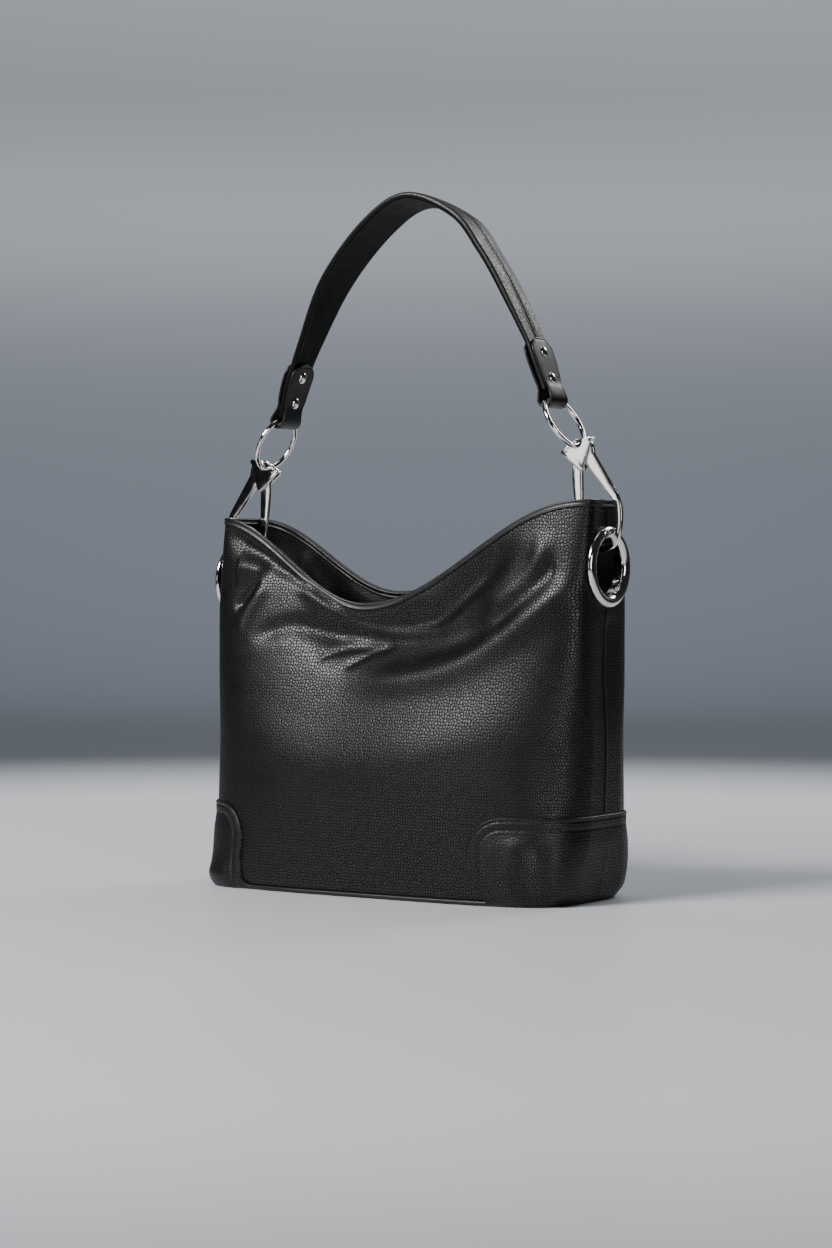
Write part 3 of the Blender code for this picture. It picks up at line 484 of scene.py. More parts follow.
# Ridges and creases of the slouching leather: (path in mm, rise, reach, profile power)
FRONT_FOLDS = [
    # the hollow under the rim and the ridge along its lower side
    (
        [(-100, 214), (-64, 206), (-30, 199), (6, 196), (40, 199), (70, 206), (95, 216), (122, 234)],
        -7.6, 17, 2,
    ),
    (
        [(-70, 224), (-36, 212), (2, 210), (35, 216), (61, 234), (83, 251), (103, 266), (124, 278)],
        -9.5, 12, 2,
    ),
    (
        [(-126, 253), (-105, 249), (-78, 235), (-57, 222), (-33, 212), (5, 208), (45, 212), (74, 224)],
        4, 6, 2,
    ),
    # the left shoulder
    ([(-131, 196), (-111, 206), (-89, 211), (-61, 207), (-32, 199)], -3.4, 8, 2),
    ([(-125, 251), (-136, 236), (-148, 221)], -4.2, 4.2, 1.8),
    ([(-166, 254), (-149, 257), (-132, 256), (-118, 252)], 4.5, 9, 2),
    ([(-121, 250), (-127, 233), (-136, 217), (-144, 196)], 3.6, 8, 2),
    ([(-168, 289), (-147, 277), (-125, 266), (-106, 256), (-87, 243), (-71, 231)], -4.6, 8, 2),
    # two short creases in the belly
    ([(-69, 179), (-57, 188), (-39, 194), (-10, 196)], -1.5, 3.6, 1.8),
    ([(-42, 175), (-28, 184), (-15, 192), (6, 199)], -1.9, 3.6, 1.8),
    # the ridge that hangs from the right eyelet, and its neighbours
    (
        [
            (174, 283), (168, 256), (156, 239), (137, 223), (114, 207), (88, 191), (56, 177), (10, 168),
            (-40, 167),
        ],
        5, 12, 2,
    ),
    ([(154, 276), (148, 258), (130, 242), (110, 223), (92, 211)], -3.6, 10, 2),
    ([(128, 287), (137, 269), (129, 249), (109, 233), (85, 217)], 3.4, 9, 2),
    # the right foot
    ([(149, 2), (150, 24), (147, 52)], -3, 7, 1.8),
    ([(131, 2), (130, 26), (134, 56)], 1.4, 9, 2),
    ([(147, 125), (151, 95), (158, 68)], -2.2, 14, 2),
]
BACK_FOLDS = [
    ([(-112, 252), (-84, 234), (-60, 221), (-30, 214), (10, 214), (48, 219), (84, 236)], -5.5, 13, 2),
    ([(-90, 214), (-50, 197), (-10, 191), (34, 192), (80, 203)], 2.4, 15, 2),
    ([(168, 298), (160, 262), (146, 236), (120, 212), (96, 196)], 4, 11, 2),
    ([(138, 290), (132, 262), (122, 240), (104, 220)], -4.5, 10, 2),
    ([(-166, 284), (-156, 250), (-138, 226), (-112, 206), (-90, 194)], 4, 11, 2),
    ([(-134, 276), (-128, 256), (-116, 238), (-100, 224)], -4, 9, 2),
    ([(30, 176), (52, 184), (70, 196)], -1.4, 4.5, 1.6),
    ([(150, 2), (151, 26), (148, 54)], -2.8, 7, 1.8),
    ([(-150, 2), (-151, 26), (-148, 54)], -2.8, 7, 1.8),
    ([(-20, 150), (10, 120), (24, 84)], -1.2, 20, 2),
]
FOLD_STRENGTH = 0.85
BELLY_RISE, BELLY_AT, BELLY_SPREAD = 5.0, (25, 118), (75, 48)
GUSSET_DEPTH = 2.4
FLARE = 9.5


def fold_height(points, side):
    """How far the leather stands out from its even surface, in mm."""
    x, y, z = (points[..., k] for k in range(3))
    folds = FRONT_FOLDS if side == FRONT else BACK_FOLDS
    height = sum(FOLD_STRENGTH * stroke(x, z, *fold) for fold in folds)
    out_x, out_z = ((v - at) / spread for v, at, spread in zip((x, z), BELLY_AT, BELLY_SPREAD))
    height = height + BELLY_RISE * np.exp(-(out_x**2) - out_z**2)
    height = height * (1 - smoothstep((np.abs(x) - 164) / 10))
    for hand, centre in EYELET_CENTRE.items():
        beside = np.exp(-((y / 15) ** 2)) * np.exp(-(((z - centre.z / MM + 75) / 40) ** 2))
        gusset = -GUSSET_DEPTH * beside * smoothstep((hand * x - 150) / 20)
        near = np.hypot(y, z - centre.z / MM) + 4 * np.clip(150 - hand * x, 0, None)
        height = (height + gusset) * smoothstep((near - 33) / 14)
    return height


def foot_flare(points):
    """How far the left-hand foot spreads out where the bag rests on it, in mm."""
    x, z = points[..., 0], points[..., 2]
    near_end = smoothstep((-x - 105) / 50) * np.exp(-((z / 17) ** 2))
    return FLARE * near_end * (1 - 0.3 * smoothstep((-x - 150) / 20))


class Wall:
    """The front or back wall: its outer surface with its folds, sampled on a grid of stations
    from the right-hand seam to the left-hand one and of shares of the rim's height."""

    def __init__(self, side):
        self.side = side
        self.stations = np.linspace(0, 1, WALL_COLUMNS)
        self.shares = np.linspace(0, 1, WALL_ROWS)
        edge_x, _ = section(1.0, self.stations)
        self.rim = rim_height(edge_x, side)
        points = np.empty((WALL_ROWS, WALL_COLUMNS, 3))
        for i, share in enumerate(self.shares):
            x, y = section(share, self.stations)
            points[i] = np.stack([x, side * y, self.rim * share], -1)
        normals = self.normals_of(points)
        lift = fold_height(points, side)
        edge = smoothstep((self.rim[None, :] - points[..., 2]) / 12) * smoothstep(points[..., 2] / 4)
        level = unit(normals * np.array([1, 1, 0]))
        points = points + normals * (lift * edge)[..., None] + level * foot_flare(points)[..., None]
        self.points, self.normals = points, self.normals_of(points)

    def normals_of(self, points):
        across, up = np.gradient(points, axis=1), np.gradient(points, axis=0)
        up[0] = up[1]
        normals = unit(np.cross(across, up))
        outward = np.sign(normals[WALL_ROWS // 2, WALL_COLUMNS // 2, 1]) * self.side
        normals = normals * outward
        for column, x in ((0, 1.0), (-1, -1.0)):
            normals[:, column] = unit(normals[:, column] * np.array([1, 0, 1]))
            normals[:, column, 0] = np.abs(normals[:, column, 0]) * x
        return normals

    def outward(self, stations, shares):
        return unit(sample(self.normals, stations, shares))

    def at(self, stations, shares, depth=0.0):
        """Points in metres, sunk to a depth in mm behind the outer surface."""
        sunk = self.outward(stations, shares) * np.asarray(depth, float)[..., None]
        return (sample(self.points, stations, shares) - sunk) * MM

    def share_at(self, stations, height):
        """Share of the rim's height that lies at a height in mm."""
        rim = np.interp(stations, self.stations, self.rim)
        return np.clip(height / rim, 0, 1)

    def length_at(self, share):
        x, y = section(share, self.stations)
        return run_along(np.stack([x, y], 1))[-1]


def sample(table, stations, shares):
    """A smooth value of a wall's table at stations and shares of any matching shape."""
    u, v = np.broadcast_arrays(np.asarray(stations, float), np.asarray(shares, float))
    u, v = np.clip(u, 0, 1) * (WALL_COLUMNS - 1), np.clip(v, 0, 1) * (WALL_ROWS - 1)
    i, j = np.minimum(v.astype(int), WALL_ROWS - 2), np.minimum(u.astype(int), WALL_COLUMNS - 2)
    total = 0
    for row_step, row_weight in zip((-1, 0, 1, 2), cubic_weights(v - i)):
        row = np.clip(i + row_step, 0, WALL_ROWS - 1)
        for column_step, weight in zip((-1, 0, 1, 2), cubic_weights(u - j)):
            column = np.clip(j + column_step, 0, WALL_COLUMNS - 1)
            total = total + table[row, column] * (row_weight * weight)[..., None]
    return total


def cubic_weights(t):
    """Weights of four neighbours for a smooth curve through the middle two."""
    return (
        -0.5 * t + t**2 - 0.5 * t**3,
        1 - 2.5 * t**2 + 1.5 * t**3,
        0.5 * t + 2 * t**2 - 1.5 * t**3,
        -0.5 * t**2 + 0.5 * t**3,
    )


WALLS = {word: Wall(side) for word, side in SIDES.items()}


# ---------------------------------------------------------------- body


def eyelet_gap(points):
    """Distance in mm from the nearer eyelet's axis, far away on the front and back faces."""
    gaps = []
    for hand, centre in EYELET_CENTRE.items():
        sideways = np.where(hand * points[..., 0] > EYELET_SIDE, 0, 1)
        off = np.hypot(points[..., 1] - centre.y, points[..., 2] - centre.z) / MM
        gaps.append(off + 1000 * sideways)
    return np.minimum(*gaps)


def round_hole(points):
    """Moves the points just outside an eyelet's hole onto its circle."""
    moved, radius = points.copy(), EYELET_CUT * MM
    for hand, centre in EYELET_CENTRE.items():
        middle = np.array(centre.yz)
        off = moved[..., 1:] - middle
        reach = np.linalg.norm(off, axis=-1)
        close = (hand * moved[..., 0] > EYELET_SIDE) & (reach < radius * 1.09)
        scale = np.where(close, radius / np.maximum(reach, 1e-9), 1.0)
        moved[..., 1:] = middle + off * scale[..., None]
    return moved


def walled_sheet(name, wall, stations, shares, depths, look, node):
    """A layer of the wall as a closed sheet, with the eyelet holes cut out of it."""
    grid_s, grid_v = np.broadcast_arrays(stations, shares)
    outer, inner = (wall.at(grid_s, grid_v, depth) for depth in depths)
    gap = eyelet_gap(outer)
    corners = [gap[:-1, :-1], gap[:-1, 1:], gap[1:, 1:], gap[1:, :-1]]
    keep = (np.min(corners, axis=0) > EYELET_CUT).ravel()
    if wall.side == FRONT:
        outer, inner = outer[:, ::-1], inner[:, ::-1]
        keep = keep.reshape(grid_s.shape[0] - 1, -1)[:, ::-1].ravel()
    shape = thick_sheet(round_hole(outer), round_hole(inner), keep)
    mesh_object(name, shape, look, [node])


def rows_between(wall, stations, low, high, count):
    """Shares for evenly spread rows between two heights in mm below or above each station."""
    low = np.broadcast_to(wall.share_at(stations, low), stations.shape)
    high = np.broadcast_to(wall.share_at(stations, high), stations.shape)
    return low[None] + (high - low)[None] * np.linspace(0, 1, count)[:, None]


def make_walls():
    for word, wall in WALLS.items():
        gap = 0.3 / wall.length_at(0.5)
        fine = gap + wall.stations * (1 - 2 * gap)
        shares = rows_between(wall, fine, 1.2, wall.rim - 2.2, WALL_ROWS)
        walled_sheet(f"{word}_leather", wall, fine, shares, PANEL, LEATHER, f"{word}_panel")
        coarse = gap + np.linspace(0, 1, 181) * (1 - 2 * gap)
        rim = np.interp(coarse, wall.stations, wall.rim)
        shares = rows_between(wall, coarse, FACING_BOTTOM, rim - 2.4, 45)
        walled_sheet(f"{word}_band", wall, coarse, shares, FACING, INNER_LEATHER, f"{word}_facing")


def make_lining():
    """A cloth cup inside the walls, open at the top."""
    height = np.r_[4.9, np.linspace(6.5, FACING_BOTTOM - 0.4, 60)]
    skins = []
    for depth in LINING:
        rings = []
        for z in height:
            halves = [wall.at(s, wall.share_at(s, z), depth) for wall, s in body_loop(121)]
            rings.append(np.vstack(halves))
        skins.append(np.array(rings))
    outer, inner = skins
    inner[0, :, 2] += 0.8 * MM
    points, faces = thick_sheet(outer, inner, wrap=True)
    count = outer.shape[1]
    inner_ring = len(outer) * count
    faces = [tuple(f) for f in faces if not is_floor_wall(f, count, inner_ring)]
    faces.append(tuple(range(count))[::-1])
    faces.append(tuple(range(inner_ring, inner_ring + count)))
    mesh_object("lining_cup", (points, faces), CLOTH, ["lining"])


def is_floor_wall(face, count, inner_ring):
    """True for the quads that would close the cup's two skins along its bottom edge."""
    low = [v for v in face if v < count]
    high = [v for v in face if inner_ring <= v < inner_ring + count]
    return len(low) == 2 and len(high) == 2


def make_pockets():
    """A slip pocket on the front of the lining and the zip pocket's tape on the back."""
    stations = np.linspace(0.295, 0.705, 60)
    for node, word, low in (("slip_pocket", "front", PATCH_TOP - 1), ("zip_tape", "back", 130)):
        shares = rows_between(WALLS[word], stations, low, POCKET_TOP, 30)
        walled_sheet(f"{node}_cloth", WALLS[word], stations, shares, POCKET, CLOTH, node)


def make_base():
    """The leather bottom, cut to the walls' foot."""
    low, high = 0.3, 2.2
    ring = np.vstack([wall.at(s, wall.share_at(s, 1.0), 3.2) for wall, s in body_loop(121)])
    levels = [(1.0, low), (0.6, low), (0.2, low), (0.0, low), (0.0, high), (0.6, high), (1.0, high)]
    rings = []
    for scale, z in levels:
        scaled = ring * np.array([max(scale, 0.001), max(scale, 0.001), 0])
        rings.append(scaled + np.array([0, 0, z * MM]))
    mesh_object("base_leather", tube_faces(rings, closed=True), BASE_LEATHER, ["bottom_panel"])


SNAP_STUD = [
    (0.02, 3.2), (2.0, 3.1), (2.6, 2.7), (2.8, 1.3), (3.4, 1.0), (7.0, 0.9), (7.8, 0.5), (8.0, 0.05),
    (0.02, 0.05),
]
SNAP_SOCKET = [
    (0.02, 0.5), (3.0, 0.5), (3.2, 1.7), (4.2, 2.1), (6.6, 1.9), (7.7, 1.1), (8.0, 0.05), (0.02, 0.05),
]


def make_snaps():
    """A magnetic snap's two halves, seated on the facing at the middle of the mouth."""
    for node, word, profile in (("snap_stud", "front", SNAP_STUD), ("snap_socket", "back", SNAP_SOCKET)):
        wall = WALLS[word]
        station = np.interp(0, -wall.points[0, :, 0], wall.stations)
        share = wall.share_at(station, SNAP_Z)
        seat = wall.at(station, share, FACING[1] + 0.1)
        turned_piece(f"{node}_turned", profile, seat, -wall.outward(station, share), 48, [node])


def groove(edge, depth, inset, reach):
    """A soft line pressed in (or raised, if depth is negative) at an inset from an edge."""
    return -depth * np.exp(-(((edge - inset) / reach) ** 2))


def patch_thickness(edge):
    """A turned edge, two stitched channels and a padded middle, by the distance from the edge."""
    lip = np.clip(1 - edge / 1.3, 0, 1)
    thick = 0.35 + 1.55 * np.sqrt(np.maximum(1 - lip**2, 0)) + groove(edge, -0.35, 1.4, 1.0)
    thick += groove(edge, 0.45, PATCH_STITCHES["edge"], 0.8)
    thick += groove(edge, 0.55, PATCH_STITCHES["inner"], 1.0)
    return thick + 0.8 * smoothstep((edge - 10) / 12)


def make_patch(wall, word, hand, hand_word):
    rows, columns = 90, 130
    z = np.maximum(PATCH_TOP * (1 - (1 - np.linspace(0, 1, rows)) ** 1.7), 1.0)
    rise = np.clip((z - (PATCH_TOP - PATCH_CORNER)) / PATCH_CORNER, 0, 1)
    width = PATCH_WIDTH[hand]
    tuck = PATCH_FOOT_TUCK[hand] * (1 - smoothstep(z / 30))
    reach = width - tuck - PATCH_CORNER * (1 - np.sqrt(1 - rise**2))
    spread = 1 - (1 - np.linspace(0, 1, columns)) ** 1.6
    p = 0.3 + reach[:, None] * spread[None, :]
    zz = np.broadcast_to(z[:, None], p.shape)
    centre_p, centre_z = width - PATCH_CORNER, PATCH_TOP - PATCH_CORNER
    in_corner = (p > centre_p) & (zz > centre_z)
    corner = PATCH_CORNER - np.hypot(p - centre_p, zz - centre_z)
    edge = np.where(in_corner, corner, np.minimum(reach[:, None] - p, PATCH_TOP - zz))
    s = patch_station(wall, hand, p)
    shares = wall.share_at(s, zz)
    outer, inner = wall.at(s, shares, -patch_thickness(edge)), wall.at(s, shares, -0.3)
    if (wall.side == FRONT) == (hand == RIGHT):
        outer, inner = outer[:, ::-1], inner[:, ::-1]
    name = f"patch_{word}_{hand_word}"
    mesh_object(name, thick_sheet(outer, inner), PATCH_LEATHER, [f"corner_{name}"])
    for row, inset in PATCH_STITCHES.items():
        path_p, path_z = patch_line(hand, inset)
        s = patch_station(wall, hand, path_p)
        share = wall.share_at(s, path_z)
        stitch_row(f"stitches_{name}_{row}", wall.at(s, share, -1.55), wall.outward(s, share))


def make_patches():
    for word, wall in WALLS.items():
        for hand_word, hand in HANDS.items():
            make_patch(wall, word, hand, hand_word)


def patch_station(wall, hand, p):
    """Station of a point at p mm round the wall from the patch's side seam."""
    s = p / wall.length_at(0.15)
    return s if hand == RIGHT else 1 - s


def patch_line(hand, inset):
    """A line in from the patch's edge, from the side seam round its corner to its foot."""
    radius = PATCH_CORNER - inset
    width = PATCH_WIDTH[hand]
    centre_p, centre_z = width - PATCH_CORNER, PATCH_TOP - PATCH_CORNER
    turn = np.linspace(math.pi / 2, 0, 30)
    top = np.linspace(0.5, centre_p, 60, endpoint=False)
    foot = np.linspace(centre_z, 2, 30)
    p = np.r_[top, centre_p + radius * np.cos(turn), np.full(30, width - inset)]
    z = np.r_[np.full(60, PATCH_TOP - inset), centre_z + radius * np.sin(turn), foot]
    p = p - PATCH_FOOT_TUCK[hand] * (1 - smoothstep(z / 30)) * smoothstep((p - 60) / 40)
    return p, z


def stitch_row(name, places, outward, body="bag_body"):
    """Separate thread stitches along a line, each a slim bead that dips at both ends."""
    run = run_along(places)
    count = max(int(run[-1] / STITCH_PITCH), 1)
    middles = (np.arange(count) + 0.5) * run[-1] / count
    steps, girth, dip = np.array(STITCH_SHAPE).T
    sides = 6

    def look_up(table, at):
        return np.stack([np.interp(at, run, table[:, k]) for k in range(3)], -1)

    up = unit(look_up(outward, middles))
    ahead = unit(look_up(places, middles + 0.5 * MM) - look_up(places, middles - 0.5 * MM))
    across = np.cross(up, ahead)
    turn = turns(sides)
    half, radius = STITCH_LENGTH / 2, STITCH_THICK / 2
    centre = look_up(places, middles)
    ring = centre[:, None, None] + ahead[:, None, None] * (steps * half)[None, :, None, None]
    ring = ring + up[:, None, None] * (dip * radius)[None, :, None, None]
    spoke = across[:, None, None] * np.cos(turn)[None, None, :, None]
    spoke = spoke + up[:, None, None] * np.sin(turn)[None, None, :, None]
    points = (ring + spoke * (girth * radius)[None, :, None, None]).reshape(-1, 3)
    cells = grid_cells(len(steps), sides, wrap=True)
    each = len(steps) * sides
    caps = [tuple(range(sides))[::-1], tuple(range(each - sides, each))]
    faces = [tuple(f + each * k) for k in range(count) for f in cells]
    faces += [tuple(v + each * k for v in cap) for k in range(count) for cap in caps]
    mesh_object(name, (points, faces), THREAD, body=body)


def body_loop(count):
    """(wall, stations) for the front and back halves, in order once round the bag."""
    s = np.linspace(0, 1, count)
    return [(WALLS["front"], s[:-1]), (WALLS["back"], s[::-1][:-1])]


# The binding's section as (depth behind the outer surface, drop below the rim) in mm
BINDING_OUTSIDE = [
    (-0.3, 5.4), (-0.9, 5.3), (-1.25, 4.9), (-1.2, 4.4), (-0.75, 4.0), (-0.7, 1.9), (-0.95, 1.4),
    (-0.95, 0.7), (-0.3, 0.15), (1.5, 0.0),
]
BINDING_INSIDE = [
    (3.0, 0.15), (3.9, 0.6), (4.1, 1.5), (4.0, 2.4), (4.0, 3.9), (4.5, 4.3), (4.5, 4.9), (4.1, 5.3),
    (3.6, 5.4),
]
BINDING_HOLLOW = [(3.5, 4.6), (3.45, 2.0), (-0.05, 2.0), (-0.1, 4.6)]
RIM_STITCH_DROP = 8.6


def make_binding():
    """A folded leather strip over the rim, and the stitched line below it on both faces."""
    rings = []
    for wall, s in body_loop(WALL_COLUMNS):
        rim = np.interp(s, wall.stations, wall.rim)
        profile = BINDING_OUTSIDE + BINDING_INSIDE + BINDING_HOLLOW
        rings.append(np.stack([wall.at(s, 1 - drop / rim, depth) for depth, drop in profile], 1))
    shape = tube_faces(np.vstack(rings), closed=True)
    mesh_object("rim_strip", shape, EDGE_LEATHER, ["rim_binding"], smooth_angle=60)
    for word, wall in WALLS.items():
        s = np.linspace(0.002, 0.998, 400)
        share = 1 - RIM_STITCH_DROP / np.interp(s, wall.stations, wall.rim)
        for face, depth, sign in (("outer", 0.0, 1), ("inner", FACING[1], -1)):
            outward = wall.outward(s, share) * sign
            stitch_row(f"stitches_rim_{word}_{face}", wall.at(s, share, depth), outward)


def make_seams():
    """Raised side seams below and above the eyelets."""
    wall = WALLS["front"]
    for word, hand in HANDS.items():
        station = 0.0 if hand == RIGHT else 1.0
        centre = EYELET_CENTRE[hand].z / MM
        below = ("lower", PATCH_TOP + 0.5, centre - EYELET_CLEAR)
        above = ("upper", centre + EYELET_CLEAR, RIM_SEAM_Z[hand] - 7)
        for part, low, high in (below, above):
            z = np.linspace(low, high, 60)
            places = wall.at(np.full(60, station), z / RIM_SEAM_Z[hand], -0.1)
            rings = [round_section(p, (hand, 0, 0), (0, 1, 0), 0.9 * MM, 1.5 * MM, 10) for p in places]
            mesh_object(f"seam_{word}_{part}", tube_faces(rings, closed=False), EDGE_LEATHER)


def make_piping():
    """A cord of piping round the base."""
    rings = []
    for wall, s in body_loop(200):
        share = wall.share_at(s, 3.6)
        for foot, out in zip(wall.at(s, share, 0.3), wall.outward(s, share)):
            across = Vector((out[0], out[1], 0)).normalized()
            centre = (foot[0], foot[1], 1.9 * MM)
            rings.append(round_section(centre, across, (0, 0, 1), PIPING_RADIUS, PIPING_RADIUS, 12))
    mesh_object("piping_cord", tube_faces(rings, closed=True), EDGE_LEATHER, ["base_piping"])


def round_section(centre, across, up, half_width, half_height, sides):
    """A ring of points on an ellipse."""
    turn = turns(sides)
    sideways = np.outer(np.cos(turn) * half_width, np.array(across))
    return np.array(centre) + sideways + np.outer(np.sin(turn) * half_height, np.array(up))


# ---------------------------------------------------------------- hardware


def turned_piece(name, profile, centre, axis, segments, replaces, body="bag_body", closed=False):
    """A polished turned piece from its (radius, offset) profile in mm."""
    scaled = [(radius * MM, offset * MM) for radius, offset in profile]
    shape = lathe(scaled, centre, axis, segments, closed)
    mesh_object(name, shape, NICKEL, replaces, body, 50)


def both_ways(half):
    """A profile that repeats its half on the other side of its middle."""
    return half + [(radius, -offset) for radius, offset in reversed(half)]


EYELET_PROFILE = [
    (30.6, 0.1), (31.1, 0.9), (31.2, 1.8), (30.8, 2.9), (29.8, 3.9), (28.3, 4.6), (26.6, 4.8), (24.9, 4.5),
    (23.4, 3.7), (22.3, 2.5), (21.7, 0.9), (21.5, -2.0), (21.5, -5.6), (23.0, -5.6), (23.1, 0.3),
]
WASHER_PROFILE = [(23.6, -3.9), (30.0, -3.9), (30.0, -4.6), (29.3, -5.2), (24.4, -5.4), (23.6, -5.0)]


def make_eyelets():
    """A domed flange that rolls over into its barrel, and a plain washer behind the leather."""
    for word, hand in HANDS.items():
        centre = (RIM_SEAM_X * MM * hand, EYELET_CENTRE[hand].y, EYELET_CENTRE[hand].z)
        for node, profile in ((f"{word}_eyelet", EYELET_PROFILE), (f"{word}_eyelet_washer", WASHER_PROFILE)):
            turned_piece(f"{node}_turned", profile, centre, (hand, 0, 0), 96, [node], closed=True)


def flat_part(name, outline, holes, half_thick, middle_y, bevel, body, node):
    """An upright plate with rounded edges: an outline with holes in the X-Z plane, in mm."""
    drawn = bpy.data.curves.new(name, "CURVE")
    drawn.dimensions = "2D"
    drawn.fill_mode = "BOTH"
    for loop in [outline] + holes:
        line = drawn.splines.new("POLY")
        line.points.add(len(loop) - 1)
        for point, (x, z) in zip(line.points, loop):
            point.co = (x * MM, z * MM, 0, 1)
        line.use_cyclic_u = True
    drawn.extrude = (half_thick - bevel) * MM
    drawn.bevel_depth = bevel * MM
    drawn.bevel_resolution = 3
    drawn.offset = -bevel * MM
    holder = linked(name + "_outline", drawn)
    bpy.context.view_layer.update()
    mesh = bpy.data.meshes.new_from_object(holder.evaluated_get(bpy.context.evaluated_depsgraph_get()))
    bpy.data.objects.remove(holder)
    upright = Matrix.Rotation(math.pi / 2, 4, "X")
    mesh.transform(Matrix.Translation((0, middle_y * MM, 0)) @ upright)
    made = linked(name, mesh)
    weld = made.modifiers.new("weld", "WELD")
    weld.merge_threshold = 0.01 * MM
    finish_piece(made, NICKEL, body, [node], 35)


def arc(centre, radius, start, end, steps):
    """Points on an arc, from one angle to another in degrees."""
    angle = np.radians(np.linspace(start, end, steps + 1))
    return [(centre[0] + radius * math.cos(a), centre[1] + radius * math.sin(a)) for a in angle]


# The right-hand spring hook in the X-Z plane, in mm
EYE = (147.6, 350.0)
GATE_PIVOT = (148.0, 340.0)
HOOK_HALF_THICK = 1.7
HOOK_BEVEL = 0.7
HOOK_BELLY = [
    (171.0, 269.0), (178.0, 270.9), (183.3, 276.2), (186.0, 283.6), (187.3, 292.5), (187.0, 304.0),
    (183.8, 313.5),
]
HOOK_HEAD = [(163.5, 344.0), (162.3, 350.0), (160.0, 354.6), (156.0, 357.0)]
HOOK_INNER = [
    (178.0, 310.2), (180.8, 305.0), (182.2, 297.5), (182.1, 289.5), (180.3, 282.8), (176.6, 277.0),
    (171.0, 274.0),
]
HOOK_TIP = [
    (147.8, 274.0), (147.3, 274.5), (147.3, 278.6), (146.8, 279.0), (145.4, 279.0), (145.0, 278.6),
    (145.0, 270.4), (145.4, 269.4), (146.4, 269.0),
]
GATE_LEFT = [(143.7, 331.0), (144.4, 320.0), (145.8, 309.0), (147.2, 299.0), (147.7, 288.0)]
GATE_FOOT = [(147.7, 275.6), (148.2, 274.9), (151.8, 274.9), (152.4, 275.6)]
GATE_RIGHT = [(152.5, 288.0), (152.6, 300.0), (152.7, 316.0), (152.4, 331.0)]
PLATE_CORNERS = [(161.6, 358.0), (133.8, 346.3), (153.5, 330.0)]
PLATE_BITE = (146.0, 354.2)
PLATE_SCREW = (139.6, 346.6)
PLATE_Y = 2.85
PIN_HALF = [(0.05, 1.95), (1.4, 1.95)]
SCREW_HALF = [(0.05, 4.15), (0.7, 4.1), (1.2, 3.9), (1.3, 3.65)]
LEFT_SAG = 11.0  # the left side slumps, so its hardware sits lower


def on_hand(points, hand):
    """Moves right-hand points to their own side."""
    drop = LEFT_SAG if hand == LEFT else 0
    return [(hand * x, z - drop) for x, z in points]


def smooth_run(points, count):
    return [tuple(p) for p in spline(points, count)]


def hook_outline():
    eye = arc(EYE, 6.0, 48, 232, 24)
    notch = arc(GATE_PIVOT, 4.5, 165, -12, 16)
    outer = smooth_run(HOOK_BELLY, 26) + smooth_run(HOOK_HEAD, 8)
    return outer + eye + notch + [(155.4, 337.2)] + smooth_run(HOOK_INNER, 24) + HOOK_TIP


def gate_outline():
    knuckle = arc(GATE_PIVOT, 4.0, -10, 190, 20)
    return knuckle + smooth_run(GATE_LEFT, 14) + GATE_FOOT + smooth_run(GATE_RIGHT, 10)


def plate_outline():
    """A triangle with round corners, bitten where the ring passes."""
    spans = [(-62, 68), (112, 248), (226, 355)]
    middle = tuple(sum(c[k] for c in PLATE_CORNERS) / 3 for k in range(2))
    outline = []
    for corner, (start, end) in zip(PLATE_CORNERS, spans):
        reach = math.dist(corner, middle)
        pull = (reach - 3.6) / reach
        centre = tuple(m + (c - m) * pull for c, m in zip(corner, middle))
        outline += arc(centre, 2.4, start, end, 12)
        if corner == PLATE_CORNERS[0]:
            outline += arc(PLATE_BITE, 2.3, 20, -158, 16)
    return outline


def make_hooks():
    thick = (HOOK_HALF_THICK, 0, HOOK_BEVEL)
    for word, hand in HANDS.items():
        eye, pivot, screw = on_hand([EYE, GATE_PIVOT, PLATE_SCREW], hand)
        body = f"{word}_hook"
        eye_hole, pin_hole = arc(eye, 4.0, 0, 360, 32)[:-1], arc(pivot, 1.8, 0, 360, 24)[:-1]
        outlines = (hook_outline(), gate_outline(), plate_outline())
        frame_line, gate, plate = (on_hand(outline, hand) for outline in outlines)
        flat_part(f"{word}_hook_cast", frame_line, [eye_hole], *thick, body, f"{word}_hook_frame")
        for face, y in (("front", -PLATE_Y), ("back", PLATE_Y)):
            name = f"{word}_hook_{face}_plate"
            flat_part(f"{name}_cast", plate, [], 0.75, y, 0.4, body, name)
        flat_part(f"{word}_gate_cast", gate, [pin_hole], *thick, f"{word}_gate", f"{word}_hook_gate")
        for part, (x, z), half, node in (
            ("pin", pivot, PIN_HALF, [f"{word}_gate_pin"]),
            ("screw", screw, SCREW_HALF, []),
        ):
            centre = (x * MM, 0, z * MM)
            turned_piece(f"{word}_{part}_turned", both_ways(half), centre, (0, 1, 0), 32, node, body)


RING_RADIUS, RING_WIRE = 22.5, 2.0
RING_LEAN = {RIGHT: math.radians(31), LEFT: math.radians(27)}


def ring_frame(hand):
    """The ring's centre in mm and the direction up from the hook's eye."""
    up = np.array([-hand * math.sin(RING_LEAN[hand]), 0, math.cos(RING_LEAN[hand])])
    eye = on_hand([EYE], hand)[0]
    return np.array([eye[0], 0, eye[1]]) + RING_RADIUS * up, up


def make_rings():
    for word, hand in HANDS.items():
        centre, up = ring_frame(hand)
        across = np.array([0, 1.0, 0])
        axis = np.cross(up, across)
        rings = []
        for turn in turns(96):
            spoke = across * math.cos(turn) + up * math.sin(turn)
            wire_centre = (centre + spoke * RING_RADIUS) * MM
            rings.append(round_section(wire_centre, spoke, axis, RING_WIRE * MM, RING_WIRE * MM, 20))
        node = f"{word}_ring"
        mesh_object(f"{node}_wire", tube_faces(rings, closed=True), NICKEL, [node], node)


# ---------------------------------------------------------------- strap and tabs

